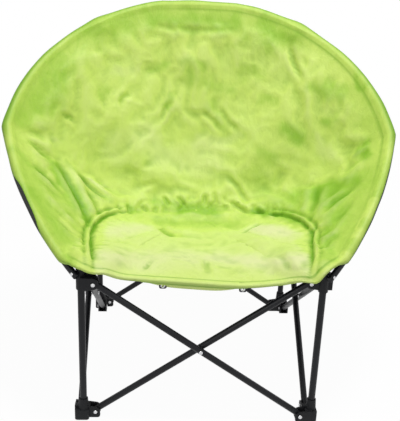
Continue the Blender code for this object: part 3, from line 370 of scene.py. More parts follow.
# Rolled edge, in degrees, and the dark backing that shows round it
LIME_EDGE = -58.0
DARK_TURN = 78.0
DARK_OUT = 0.25
LEFT_DARK = (0.165, 0.066)
RIGHT_DARK = (0.20, 0.15)
RIGHT_DARK_SHARE = 0.55
UNDERLAP_MIDDLE = -0.020
UNDERLAP_HALF = 0.105
UNDERLAP_INSET = 0.019
UNDERLAP_WIDTH = 0.015
UNDERLAP_SHOWN = 0.3
UNDERLAP_ROWS = CAP_ROWS // 2 + 3
# Painted shade on the roll, by row: round the upper rim, on the lower sides, and along the hem
ROLLED_SHADE = ((1, 2, 3, CAP_ROWS), (0.20, 0.95, 1.2, 1.3))
SIDE_SHADE = ((2, 4, 5, CAP_ROWS), (0.0, 0.30, 1.1, 1.3))
HEM_SHADE = (0.05, 1.1)

# Planes that part the sleeves from the pads
PAD_OUT = 0.12
PAD_DEPTH = 0.16
FRONT_PAD_UP = 0.16
BACK_PAD_UP = 0.47
FRONT_PARTING = 0.016
BACK_PARTING = 0.009

# Tubes
CROSS_OVER = 0.008
CUT_LIP = 0.0022
UPRIGHT_LIP = 0.0006
ARM_RADIUS = 0.007
ARM_BEHIND = 0.010
ARM_SHARE = 0.985
ARM_STEPS = 40

# Mouldings, rivets and eyelets, with angles in degrees
WELD = 0.00002
FLAT_ANGLE = 2.0
SHARP_ANGLE = 38.0
MOULDING_CREASE = 34.0
RIVET_CREASE = 50.0
TAB_CREASE = 40.0
RIVET_RADIUS = 0.0045
RIVET_HEAD = 0.0018
RIVET_SIDES = 24
SHANK_RADIUS = 0.0024
DOME = [(0.0, 0.0), (0.35, 0.02), (0.62, 0.14), (0.84, 0.40), (0.97, 0.74), (1.0, 0.90), (0.97, 1.0)]
DIMPLE = [(0.0, 0.45), (0.0013, 0.42), (0.0019, 0.0)]
SET_RIM = [(0.66, 0.0), (0.92, 0.35), (1.0, 0.75), (0.97, 1.0)]
WASHER = [(SHANK_RADIUS, 0.0008), (0.0054, 0.0007), (0.0055, 0.0), (0.0054, -0.0007), (SHANK_RADIUS, -0.0008)]
EYELET_UP = 0.0065
EYELET_SIDES = 28
EYELET_RING = [(0.0024, 0.0), (0.0027, 0.0016), (0.0036, 0.0020), (0.0047, 0.0016), (0.0050, 0.0012),
               (0.0050, -0.0012), (0.0047, -0.0016), (0.0036, -0.0020), (0.0027, -0.0016), (0.0024, 0.0)]
TAB_DROPS = {"left": 0.0, "right": 0.006}

# Grain of the finishes, finer the higher it is
CLOUD_GRAIN = 9.0
BRUSH_GRAIN = 24.0
STROKE_GRAIN = 40.0
CRINKLE_GRAIN = 60.0
FINE_GRAIN = 150.0
PILE_GRAIN = 1500.0
WEAVE_GRAIN = 260.0
WEAVE_DUST_GRAIN = 24.0
TAPE_GRAIN = 420.0
TAPE_DUST_GRAIN = 60.0
PEEL_GRAIN = 620.0
COAT_CLOUD_GRAIN = 14.0
SPARK_GRAIN = 1100.0
NYLON_CLOUD_GRAIN = 40.0
TURNING_GRAIN = 700.0
TARNISH_GRAIN = 160.0

# Small colours
TAPE_DARK = (0.012, 0.012, 0.012)
TAPE_LIGHT = (0.045, 0.045, 0.046)
SHEEN_TINT = (0.90, 1.0, 0.62)
WHITE = (1.0, 1.0, 1.0)

# Stage
KEY_PLACE = (0.30, -0.35, 2.90)
KEY_SIZE = 0.5
FILL_PLACE = (-0.9, -2.4, 1.6)
FILL_SIZE = 0.8
LAMP_AIM = (0.0, 0.0, 0.45)
FLOOR_HALF = 9.0
FLOOR_DROP = 0.0006
FLOOR_NEAR = 0.45
FLOOR_FADE = 0.5
NEAR_WHITE = 0.97
WHITE_GAIN = 0.03
SENSOR_WIDTH = 36.0


class CoverSettings(bpy.types.PropertyGroup):
    """Cloth and filling of the padded cover."""

    lime: FloatVectorProperty(
        name="Lime", description="Colour of the brushed cloth", subtype="COLOR",
        default=(0.590, 0.752, 0.150))
    lime_deep: FloatVectorProperty(
        name="Deep lime", description="Colour where the nap lies away from the light", subtype="COLOR",
        default=(0.270, 0.515, 0.030))
    lime_bright: FloatVectorProperty(
        name="Bright lime", description="Colour of the light clouds in the nap", subtype="COLOR",
        default=(0.650, 0.822, 0.205))
    # Also the colour of the painted highlight on ridges
    lime_pale: FloatVectorProperty(
        name="Pale lime", description="Colour where the nap lies towards the light", subtype="COLOR",
        default=(0.740, 0.768, 0.408))
    # Colour of the painted shade in creases, seams, stitched lines, round the rolled rim and in the deepest
    # nap patches
    lime_shade: FloatVectorProperty(
        name="Crease lime", description="Colour in the creases", subtype="COLOR",
        default=(0.150, 0.350, 0.010))
    backing: FloatVectorProperty(
        name="Backing", description="Colour of the woven backing", subtype="COLOR",
        default=(0.022, 0.024, 0.020))
    fill: FloatProperty(
        name="Fill", description="How far the pad stands above its middle surface", default=0.0125,
        unit="LENGTH")
    sleeve: FloatProperty(
        name="Sleeve", description="Radius of the cloth sleeve round a rim arm", default=0.0106,
        unit="LENGTH")
    hem: FloatProperty(
        name="Hem", description="Radius of the turned front hem", default=0.0042, unit="LENGTH")
    neck: FloatProperty(
        name="Neck", description="Half thickness at the stitched line beside the rim", default=0.0092,
        unit="LENGTH")
    stitch_inset: FloatProperty(
        name="Stitch inset", description="Distance of the stitched line from the rim", default=0.0095,
        unit="LENGTH")
    seat_crown: FloatProperty(
        name="Seat crown", description="Extra height of the two seat lobes", default=0.015, unit="LENGTH")
    seam_depth: FloatProperty(
        name="Seam depth", description="Depth of the sewn arch seams", default=0.0065, unit="LENGTH")
    wrinkle: FloatProperty(
        name="Wrinkle", description="Height of the fine crinkles", default=0.0014, unit="LENGTH")
    underlap: FloatProperty(
        name="Underlap", description="How far the under layer hangs below the front hem", default=0.019,
        unit="LENGTH")
    net_step: FloatProperty(
        name="Net step", description="Spacing of the cloth net that is let to settle", default=0.0065,
        unit="LENGTH")
    slack: FloatProperty(
        name="Slack", description="Share by which the cloth is larger than its pad", default=0.028,
        min=0.0, max=1.0, subtype="FACTOR")
    pressure: FloatProperty(
        name="Pressure", description="Push of the filling under the cloth", default=0.25)
    bending: FloatProperty(
        name="Bending", description="Stiffness of the cloth against bending", default=0.28)
    swell_limit: FloatProperty(
        name="Swell limit", description="Most that the cloth may move as it settles", default=0.009,
        unit="LENGTH")


class FrameSettings(bpy.types.PropertyGroup):
    """Tubes, mouldings and rivets."""

    coat: FloatVectorProperty(
        name="Coat", description="Colour of the powder coat", subtype="COLOR",
        default=(0.0075, 0.0080, 0.0100))
    plastic: FloatVectorProperty(
        name="Plastic", description="Colour of the mouldings", subtype="COLOR",
        default=(0.0075, 0.0078, 0.0092))
    rivet: FloatVectorProperty(
        name="Rivet", description="Colour of the bright rivets", subtype="COLOR", default=(0.70, 0.70, 0.71))
    cross_radius: FloatProperty(
        name="Cross tube", description="Radius of a cross tube", default=0.007, unit="LENGTH")
    upright_radius: FloatProperty(
        name="Upright", description="Radius of an upright", default=0.0075, unit="LENGTH")
    tube_sides: IntProperty(
        name="Tube sides", description="Faces round a tube", default=28, min=8, subtype="UNSIGNED")
    moulding_round: FloatProperty(
        name="Moulding round", description="Edge round of the mouldings", default=0.0009, unit="LENGTH")


class StageSettings(bpy.types.PropertyGroup):
    """Floor, light and camera."""

    floor: FloatVectorProperty(
        name="Floor", description="Colour of the floor", subtype="COLOR", default=(0.92, 0.92, 0.92))
    key: FloatProperty(
        name="Key", description="Power of the soft lamp high above the front", default=51.0, unit="POWER")
    fill: FloatProperty(
        name="Fill light", description="Power of the lamp in front", default=11.0, unit="POWER")
    ambient: FloatProperty(
        name="Ambient", description="Strength of the light from all round", default=0.20,
        min=0.0, max=1.0, subtype="FACTOR")
    camera_place: FloatVectorProperty(
        name="Camera place", description="Camera position", subtype="TRANSLATION", unit="LENGTH",
        default=(-0.0981, -1.6977 + BASE_Y, 1.0722))
    yaw: FloatProperty(
        name="Yaw", description="Camera turn to the right", default=0.0589, subtype="ANGLE")
    pitch: FloatProperty(
        name="Pitch", description="Camera tilt down", default=0.3806, subtype="ANGLE")
    roll: FloatProperty(
        name="Roll", description="Camera roll", default=-0.0396, subtype="ANGLE")
    lens: FloatProperty(
        name="Lens", description="Focal length for the sensor width", default=70.99, unit="CAMERA")


# Shading

class Wire:
    """A socket of a material that takes part in sums like a number."""

    def __init__(self, paint, socket):
        self.paint = paint
        self.socket = socket

    def worked(self, operation, first, second):
        """The result of one sum."""
        return self.paint.node("ShaderNodeMath", {"operation": operation}, {0: first, 1: second})[0]

    def __add__(self, other):
        return self.worked("ADD", self, other)

    def __radd__(self, other):
        return self.worked("ADD", other, self)

    def __sub__(self, other):
        return self.worked("SUBTRACT", self, other)

    def __rsub__(self, other):
        return self.worked("SUBTRACT", other, self)

    def __mul__(self, other):
        return self.worked("MULTIPLY", self, other)

    def __rmul__(self, other):
        return self.worked("MULTIPLY", other, self)

    def clamped(self):
        """The value held between 0 and 1."""
        settings = {"operation": "ADD", "use_clamp": True}
        return self.paint.node("ShaderNodeMath", settings, {0: self, 1: 0.0})[0]


class Made:
    """A node that was just made, whose outputs are found by name or number."""

    def __init__(self, paint, node):
        self.paint = paint
        self.node = node

    def __getitem__(self, key):
        return Wire(self.paint, self.node.outputs[key])


class Paint:
    """Nodes of a material, or of the surround, being put together."""

    def __init__(self, block, main="Principled BSDF"):
        block.use_nodes = True
        self.block = block
        self.tree = block.node_tree
        self.main = self.tree.nodes[main]

    def node(self, kind, settings, values):
        """Add a node, set its settings, then give its sockets numbers, colours or links."""
        node = self.tree.nodes.new(kind)
        for key, value in settings.items():
            setattr(node, key, value)
        for key, value in values.items():
            self.put(node.inputs[key], value)
        return Made(self, node)

    def put(self, socket, value):
        """Give one socket a link or a constant."""
        if isinstance(value, Wire):
            self.tree.links.new(value.socket, socket)
        elif isinstance(value, (tuple, list)) and socket.type == "RGBA":
            socket.default_value = (*value[:3], 1.0)
        else:
            socket.default_value = value

    def set(self, **values):
        """Give sockets of the main node their values, with underscores for spaces."""
        for key, value in values.items():
            self.put(self.main.inputs[key.replace("_", " ")], value)

    def place(self):
        """The point of the surface in the chair's own frame."""
        return self.node("ShaderNodeTexCoord", {}, {})["Object"]

    def stretched(self, place, scale):
        """A point multiplied axis by axis."""
        return self.node("ShaderNodeVectorMath", {"operation": "MULTIPLY"}, {0: place, 1: scale})[0]

    def speckle(self, place, scale, detail=3.0, rough=0.55, twist=0.0):
        """Soft noise from 0 to 1."""
        values = {"Vector": place, "Scale": scale, "Detail": detail, "Roughness": rough, "Distortion": twist}
        return self.node("ShaderNodeTexNoise", {}, values)["Fac"]

    def mixed(self, factor, first, second):
        """Two colours mixed."""
        return self.node("ShaderNodeMix", {"data_type": "RGBA"}, {0: factor, 6: first, 7: second})[2]

    def ribs(self, place, direction, scale):
        """Even ribs from 0 to 1 across one direction."""
        values = {"Vector": place, "Scale": scale}
        return self.node("ShaderNodeTexWave", {"bands_direction": direction}, values)["Fac"]

    def noted(self, name):
        """A value noted at each point of the mesh."""
        return self.node("ShaderNodeAttribute", {"attribute_name": name}, {})["Fac"]

    def bumped(self, height, strength, distance):
        """A surface normal from a height."""
        values = {"Height": height, "Strength": strength, "Distance": distance}
        return self.node("ShaderNodeBump", {}, values)["Normal"]


def new_paint(name):
    """Nodes of a new material."""
    return Paint(bpy.data.materials.new(name))


def lime_cloth(cover):
    """Brushed lime cloth with a crushed nap that lies lighter and darker in patches, with painted light and
    shade over whole regions, painted shade in creases, seams, stitched lines and round the rolled rim, and
    painted highlight on ridges.
    """
    paint = new_paint("lime_brushed_cloth")
    place = paint.place()
    painted_shade = paint.noted("painted_shade")
    nap_and_painted_light = paint.noted("nap_and_painted_light")
    lime, deep, pale = tuple(cover.lime), tuple(cover.lime_deep), tuple(cover.lime_pale)
    clouds = ((paint.speckle(place, CLOUD_GRAIN, 6.0, 0.62, 1.2) - 0.42) * 4.0).clamped()
    combed = paint.stretched(place, (1.0, 0.55, 0.55))
    brush = paint.speckle(combed, BRUSH_GRAIN, 7.0, 0.64, 1.8)
    strokes = ((paint.speckle(combed, STROKE_GRAIN, 5.0, 0.60, 2.4) - 0.57) * 9.0).clamped()
    fine = paint.speckle(paint.stretched(place, (1.0, 0.6, 0.6)), FINE_GRAIN, 3.0, 0.6, 1.0)
    pile = paint.speckle(place, PILE_GRAIN, 1.0)
    # The nap tone carries painted shade on the wings, the upper rim and the seat-back line, and painted light
    # on the seat
    ragged = nap_and_painted_light + (brush - 0.5) * 0.9
    away = ((ragged - 0.10) * 1.15).clamped() * 0.82
    lit = (clouds * 0.60 - ragged).clamped()
    colour = paint.mixed(lit, lime, tuple(cover.lime_bright))
    towards = (nap_and_painted_light * -1.4 - (brush - 0.5) * 0.20 - 0.21).clamped()
    colour = paint.mixed(towards, colour, pale)
    colour = paint.mixed((strokes * 0.10 + away).clamped(), colour, deep)
    colour = paint.mixed(((fine - 0.50) * 3.0).clamped() * 0.08, colour, pale)
    # Painted highlight on ridges, where the painted shade is below 0
    colour = paint.mixed((painted_shade * -1.0).clamped() * 0.30, colour, pale)
    # Painted shade in creases, seams, stitched lines and round the rolled rim, and in the deepest nap patches
    deepest = ((nap_and_painted_light - 0.90) * 0.45).clamped()
    colour = paint.mixed((painted_shade * 0.78 + deepest).clamped(), colour, tuple(cover.lime_shade))
    crinkle = paint.speckle(combed, CRINKLE_GRAIN, 4.0, 0.6, 1.4)
    height = crinkle + fine * 0.25 + pile * 0.05
    paint.set(Base_Color=colour, Roughness=0.48 + pile * 0.12 + clouds * 0.08,
              Normal=paint.bumped(height, 0.32, 0.0040))
    paint.set(Specular_IOR_Level=0.34, Sheen_Weight=0.05, Sheen_Roughness=0.42, Sheen_Tint=SHEEN_TINT)
    return paint.block


def backing_cloth(cover):
    """Dark plain-woven backing."""
    paint = new_paint("dark_woven_backing")
    place = paint.place()
    weave = paint.ribs(place, "X", WEAVE_GRAIN) * paint.ribs(place, "Z", WEAVE_GRAIN)
    dust = paint.speckle(place, WEAVE_DUST_GRAIN, 4.0, 0.6)
    lighter = tuple(min(1.0, 2.1 * value + 0.006) for value in cover.backing)
    colour = paint.mixed((weave * 0.5 + dust * 0.35).clamped(), tuple(cover.backing), lighter)
    paint.set(Base_Color=colour, Roughness=0.72 + dust * 0.16, Normal=paint.bumped(weave + dust, 0.3, 0.0012))
    paint.set(Sheen_Weight=0.1, Specular_IOR_Level=0.3)
    return paint.block


def tape_paint():
    """Black woven tape."""
    paint = new_paint("black_woven_tape")
    place = paint.place()
    rib = paint.ribs(place, "DIAGONAL", TAPE_GRAIN)
    dust = paint.speckle(place, TAPE_DUST_GRAIN)
    colour = paint.mixed(rib * 0.5 + dust * 0.2, TAPE_DARK, TAPE_LIGHT)
    paint.set(Base_Color=colour, Roughness=0.7 + dust * 0.2, Normal=paint.bumped(rib, 0.5, 0.0006))
    return paint.block


def coated_steel(tubes):
    """Satin black powder coat with a fine orange-peel and a little dust."""
    paint = new_paint("black_powder_coat")
    place = paint.place()
    peel = paint.speckle(place, PEEL_GRAIN, 2.0)
    cloud = paint.speckle(place, COAT_CLOUD_GRAIN, 4.0, 0.6)
    lighter = tuple(1.8 * value + 0.002 for value in tubes.coat)
    paint.set(Base_Color=paint.mixed(((cloud - 0.45) * 2.2).clamped() * 0.6, tuple(tubes.coat), lighter),
              Roughness=0.30 + cloud * 0.16 + peel * 0.05, Normal=paint.bumped(peel, 0.22, 0.0006))
    paint.set(Specular_IOR_Level=0.26)
    return paint.block


def moulded_plastic(tubes):
    """Black moulded nylon with a fine spark grain and lighter clouds."""
    paint = new_paint("black_moulded_nylon")
    place = paint.place()
    grain = paint.speckle(place, SPARK_GRAIN, 2.0)
    cloud = paint.speckle(place, NYLON_CLOUD_GRAIN, 4.0, 0.62)
    lighter = tuple(1.8 * value + 0.003 for value in tubes.plastic)
    paint.set(Base_Color=paint.mixed(((cloud - 0.42) * 2.0).clamped() * 0.7, tuple(tubes.plastic), lighter),
              Roughness=0.46 + cloud * 0.14 + grain * 0.06,
              Normal=paint.bumped(grain + cloud * 0.3, 0.25, 0.0005))
    paint.set(Specular_IOR_Level=0.24)
    return paint.block


def bright_steel(tubes):
    """Bright zinc-plated rivet steel with fine turning marks."""
    paint = new_paint("bright_rivet_steel")
    place = paint.place()
    marks = paint.speckle(paint.stretched(place, (1.0, 1.0, 6.0)), TURNING_GRAIN, 3.0)
    tarnish = paint.speckle(place, TARNISH_GRAIN, 3.0)
    dull = tuple(0.72 * value for value in tubes.rivet)
    paint.set(Base_Color=paint.mixed(tarnish * 0.6, tuple(tubes.rivet), dull), Roughness=0.24 + marks * 0.16,
              Metallic=1.0, Normal=paint.bumped(marks, 0.15, 0.0003))
    return paint.block


MATERIALS = {}


def material(name):
    """A material of the chair, made when it is first needed."""
    if name not in MATERIALS:
        scene = bpy.context.scene
        makers = {
            "lime": lambda: lime_cloth(scene.chair_cover),
            "backing": lambda: backing_cloth(scene.chair_cover),
            "tape": tape_paint,
            "coat": lambda: coated_steel(scene.chair_tubes),
            "plastic": lambda: moulded_plastic(scene.chair_tubes),
            "rivet": lambda: bright_steel(scene.chair_tubes),
        }
        MATERIALS[name] = makers[name]()
    return MATERIALS[name]


# Meshes

def new_piece(name, mesh, materials, body, nodes):
    """Link a finished mesh as a piece that rides on a body and stands for CAD nodes."""
    obj = bpy.data.objects.new(name, mesh)
    bpy.context.scene.collection.objects.link(obj)
    for key in materials:
        mesh.materials.append(material(key))
    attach(obj, body)
    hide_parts(*nodes)
    return obj


def mesh_of(bm, name):
    """Close a bmesh into a smooth mesh with outward normals."""
    bmesh.ops.recalc_face_normals(bm, faces=bm.faces)
    mesh = bpy.data.meshes.new(name)
    bm.to_mesh(mesh)
    bm.free()
    for face in mesh.polygons:
        face.use_smooth = True
    return mesh


def ease(value):
    """Ease from 0 to 1."""
    share = np.clip(value, 0.0, 1.0)
    return share * share * (3.0 - 2.0 * share)


def above(value, edge):
    """Ease from 0 at an edge to 1 beyond it."""
    return ease((value - edge[0]) / edge[1])


def below(value, edge):
    """Ease from 0 at an edge to 1 below it."""
    return ease((edge[0] - value) / edge[1])


def mound(distance, width, power=2):
    """A soft mound, 1 at no distance and near 0 beyond its width."""
    return np.exp(-(distance / width) ** power)


def swept(bm, path, radii, sides):
    """Add a closed round tube along points, with a radius at each point, to a bmesh."""
    path = [Vector(point) for point in path]
    first = (path[1] - path[0]).normalized()
    across = first.orthogonal().normalized()
    rings = []
    for i, point in enumerate(path):
        ahead = path[min(i + 1, len(path) - 1)] - path[max(i - 1, 0)]
        ahead = ahead.normalized() if ahead.length > 1e-9 else first
        across = (across - ahead * across.dot(ahead)).normalized()
        other = ahead.cross(across)
        ring = []
        for k in range(sides):
            angle = FULL_TURN * k / sides
            ring.append(bm.verts.new(point + (across * math.cos(angle) + other * math.sin(angle)) * radii[i]))
        rings.append(ring)
    for lower, upper in zip(rings, rings[1:]):
        for k in range(sides):
            bm.faces.new((lower[k], lower[(k + 1) % sides], upper[(k + 1) % sides], upper[k]))
    bm.faces.new(rings[0][::-1])
    bm.faces.new(rings[-1])


def rounded_ends(path, radius, lip):
    """Path and radii of a tube whose ends are rounded over a lip."""
    path = [Vector(point) for point in path]
    steps = (0.0, 0.12, 0.3, 0.6, 1.0)
    head = (path[1] - path[0]).normalized()
    tail = (path[-1] - path[-2]).normalized()
    inset = [radius - lip + lip * math.sqrt(1.0 - (1.0 - share) ** 2) for share in steps]
    start = [path[0] + head * lip * share for share in steps]
    end = [path[-1] - tail * lip * share for share in reversed(steps)]
    return start + path[1:-1] + end, inset + [radius] * (len(path) - 2) + inset[::-1]


def turned(bm, profile, place, sides):
    """Add a profile of (radius, height) points turned about local Z to a bmesh."""
    rings = []
    for radius, height in profile:
        if radius < 1e-6:
            rings.append([bm.verts.new(place @ Vector((0.0, 0.0, height)))])
            continue
        ring = []
        for k in range(sides):
            angle = FULL_TURN * k / sides
            corner = Vector((radius * math.cos(angle), radius * math.sin(angle), height))
            ring.append(bm.verts.new(place @ corner))
        rings.append(ring)
    for upper, lower in zip(rings, rings[1:]):
        for k in range(sides):
            corners = []
            for ring, index in ((upper, k), (upper, k + 1), (lower, k + 1), (lower, k)):
                vert = ring[index % len(ring)]
                if vert not in corners:
                    corners.append(vert)
            if len(corners) > 2:
                bm.faces.new(corners)


# Rim and bowl

class Arc:
    """A circular arc in the rim plane that leaves its start at a heading and meets its end."""

    def __init__(self, start, end, heading):
        self.start = start
        self.heading = heading
        self.turn = 2.0 * (math.atan2(end[1] - start[1], end[0] - start[0]) - heading)
        self.radius = math.dist(start, end) / (2.0 * math.sin(self.turn / 2.0))
        self.length = self.radius * self.turn

    def point(self, share):
        """Point at a share of the length."""
        angle = self.heading + self.turn * share
        x = self.start[0] + self.radius * (math.sin(angle) - math.sin(self.heading))
        return x, self.start[1] - self.radius * (math.cos(angle) - math.cos(self.heading))


LOWER_ARC = Arc((ARM_PIVOT.x, 0.0), RIM_CORNER, math.atan2(1.0, math.cos(TILT)))
UPPER_ARC = Arc(RIM_CORNER, RIM_TOP, RIM_CORNER_HEADING)


def rim_world(x, u, depth):
    """World points from rim plane coordinates and a depth below the plane."""
    y = ARM_PIVOT.y + u * math.cos(TILT) + depth * math.sin(TILT)
    z = ARM_PIVOT.z + u * math.sin(TILT) - depth * math.cos(TILT)
    return np.stack(np.broadcast_arrays(x, y, z), axis=-1)


def smooth_line(points, count):
    """Even samples of an easy curve through points."""
    knots = np.array([points[0]] + list(points) + [points[-1]], float)
    curve = []
    for a, b, c, d in zip(knots, knots[1:], knots[2:], knots[3:]):
        for t in np.linspace(0.0, 1.0, 12, endpoint=False):
            curve.append(0.5 * (2.0 * b + (c - a) * t + (2.0 * a - 5.0 * b + 4.0 * c - d) * t ** 2
                                + (3.0 * b - a - 3.0 * c + d) * t ** 3))
    curve.append(knots[-1])
    curve = np.array(curve)
    run = np.concatenate([[0.0], np.cumsum(np.linalg.norm(np.diff(curve, axis=0), axis=1))])
    even = np.linspace(0.0, run[-1], count + 1)
    return np.stack([np.interp(even, run, column) for column in curve.T], axis=1)


def half_border(hem_line, sleeve_start):
    """Border of a half from the hem's middle to the top's middle: x, u, depth, hem run and fullness."""
    first = sleeve_start / LOWER_ARC.length
    hem = smooth_line(hem_line + [(*LOWER_ARC.point(first), 0.0)], HEM_COLUMNS)
    rim = []
    for i in range(1, LOWER_COLUMNS + 1):
        rim.append((*LOWER_ARC.point(first + (1.0 - first) * i / LOWER_COLUMNS), 0.0))
    for i in range(1, UPPER_COLUMNS + 1):
        rim.append((*UPPER_ARC.point(i / UPPER_COLUMNS), 0.0))
    for i in range(1, TOP_COLUMNS + 1):
        rise = TOP_RISE * math.sin(math.pi * i / TOP_COLUMNS / 2.0)
        rim.append((RIM_TOP[0] * (1.0 - i / TOP_COLUMNS), RIM_TOP[1] + rise, 0.0))
    edge = np.concatenate([hem, rim])
    steps = np.linalg.norm(np.diff(hem, axis=0), axis=1)
    run = np.zeros(len(edge))
    run[:HEM_COLUMNS] = np.cumsum(steps[::-1])[::-1]
    index = np.arange(len(edge))
    front_turn = np.where(index <= HEM_COLUMNS, 1.0 - 0.5 * index / HEM_COLUMNS,
                          0.5 * (FRONT_COLUMNS - index) / LOWER_COLUMNS)
    upper_turn = UPPER_TURN * (index - FRONT_COLUMNS) / UPPER_COLUMNS
    top_turn = UPPER_TURN + TOP_TURN * (index - FRONT_COLUMNS - UPPER_COLUMNS) / TOP_COLUMNS
    back_turn = np.where(index <= FRONT_COLUMNS + UPPER_COLUMNS, upper_turn, top_turn)
    front_power = WING_FULLNESS + (SEAT_FULLNESS - WING_FULLNESS) * ease(FRONT_EASE * front_turn)
    back_power = WING_FULLNESS + (BACK_FULLNESS - WING_FULLNESS) * ease(BACK_EASE * back_turn)
    power = np.where(index <= FRONT_COLUMNS, front_power, back_power)
    return np.column_stack([edge, run, power])


def bowl_rise(row, fullness):
    """Share of the bowl's depth gained on the way out to the rim."""
    low = BOWL_ROUND ** fullness
    high = (1.0 + BOWL_ROUND ** 2) ** (fullness / 2.0)
    return ((row ** 2 + BOWL_ROUND ** 2) ** (fullness / 2.0) - low) / (high - low)


def line_distance(x, u, line):
    """Distance of points from a line of points, and how far along it they lie."""
    best = np.full(x.shape, 9.0)
    along = np.zeros(x.shape)
    run = 0.0
    for (ax, au), (bx, bu) in zip(line, line[1:]):
        span = math.hypot(bx - ax, bu - au)
        share = np.clip(((x - ax) * (bx - ax) + (u - au) * (bu - au)) / span ** 2, 0.0, 1.0)
        gap = np.hypot(x - ax - share * (bx - ax), u - au - share * (bu - au))
        along = np.where(gap < best, run + share * span, along)
        best = np.minimum(best, gap)
        run += span
    return best, along


def line_length(line):
    """Length of a line of points."""
    return sum(math.dist(a, b) for a, b in zip(line, line[1:]))


def value_noise(points, size, seed):
    """Smooth noise from -1 to 1 with features of a given size, the same on every run."""
    grid = points / size + 17.3 * seed
    cell = np.floor(grid).astype(np.int64)
    part = grid - cell
    part = part * part * (3.0 - 2.0 * part)
    total = np.zeros(points.shape[:-1])
    for dx in (0, 1):
        for dy in (0, 1):
            for dz in (0, 1):
                key = (cell[..., 0] + dx) * 73856093
                key = key ^ (cell[..., 1] + dy) * 19349663 ^ (cell[..., 2] + dz) * 83492791
                key = (key ^ (seed * 2654435761)) & 0x7FFFFFFF
                key = (key * 1103515245 + 12345) & 0x7FFFFFFF
                key = ((key >> 13) ^ key) * 60493 & 0x7FFFFFFF
                value = (key % 65536) / 32768.0 - 1.0
                weight = np.where(dx, part[..., 0], 1.0 - part[..., 0])
                weight = weight * np.where(dy, part[..., 1], 1.0 - part[..., 1])
                weight = weight * np.where(dz, part[..., 2], 1.0 - part[..., 2])
                total += weight * value
    return total


def grid_normals(grid):
    """Unit normals of a grid of rows by closed columns."""
    along = np.gradient(grid, axis=0)
    around = np.roll(grid, -1, axis=1) - np.roll(grid, 1, axis=1)
    normal = np.cross(along, around)
    return normal / np.maximum(np.linalg.norm(normal, axis=-1, keepdims=True), 1e-12)


def spread(values, inside, reach):
    """Values smoothed over their neighbours within reach, counting only those inside."""
    weight = inside.astype(float)
    total = np.where(inside, values, 0.0)
    shifts = range(-reach, reach + 1)
    for axis in (0, 1):
        weight = sum(np.roll(weight, shift, axis) * (reach + 1 - abs(shift)) for shift in shifts)
        total = sum(np.roll(total, shift, axis) * (reach + 1 - abs(shift)) for shift in shifts)
    return total / np.maximum(weight, 1e-9)


def soft_least(first, second, blend):
    """The lesser of two values, with an eased change from one to the other."""
    share = np.clip(0.5 + 0.5 * (second - first) / blend, 0.0, 1.0)
    return second + (first - second) * share - blend * share * (1.0 - share)


def over_hub(x, u, depth):
    """Depth of the cover, lifted where it lies over a front hub's collar and ear."""
    side = np.abs(x)
    collar = np.hypot(side - HALF_BASE, u - COLLAR_UP)
    share = np.clip((HALF_BASE - side) / EAR_LENGTH, 0.0, 1.0)
    ear = np.hypot(side - HALF_BASE + EAR_LENGTH * share, u - EAR_UP)
    for gap, flat, lift in ((collar, COLLAR_FLAT, COLLAR_LIFT), (ear, EAR_FLAT, EAR_LIFT)):
        away = np.maximum(gap - flat, 0.0)
        tent = -lift + LIFT_SLOPE * away + LIFT_BEND * away ** 2
        depth = soft_least(depth, tent, LIFT_BLEND)
    return depth


def gathered_folds():
    """Short uneven creases gathered along the line between seat and back: line, height, half width."""
    chance = np.random.default_rng(GATHER_SEED)
    line = smooth_line(SEAT_BACK_LINE, GATHER_SAMPLES)
    folds = []
    place = GATHER_FIRST
    while place < GATHER_LAST:
        x, u = line[int(place)]
        lean = chance.uniform(-GATHER_LEAN, GATHER_LEAN)
        up = chance.uniform(*GATHER_UP)
        down = chance.uniform(*GATHER_DOWN)
        size = chance.uniform(*GATHER_HEIGHT) * chance.choice([-1.0, -1.0, 1.0])
        start = (x + lean * 0.3 * down, u - down)
        middle = (x + 0.4 * lean * up + chance.uniform(-GATHER_WANDER, GATHER_WANDER), u + 0.5 * up)
        folds.append(([start, middle, (x + lean * up, u + up)], size, chance.uniform(*GATHER_WIDTH)))
        place += chance.uniform(*GATHER_STEP)
    return folds


def welted(line, reach):
    """An arch line moved outwards from the seat's middle."""
    moved = []
    for x, u in line:
        away = math.hypot(x, u - SEAT_MIDDLE_UP)
        moved.append((x + reach * x / away, u + reach * (u - SEAT_MIDDLE_UP) / away))
    return moved


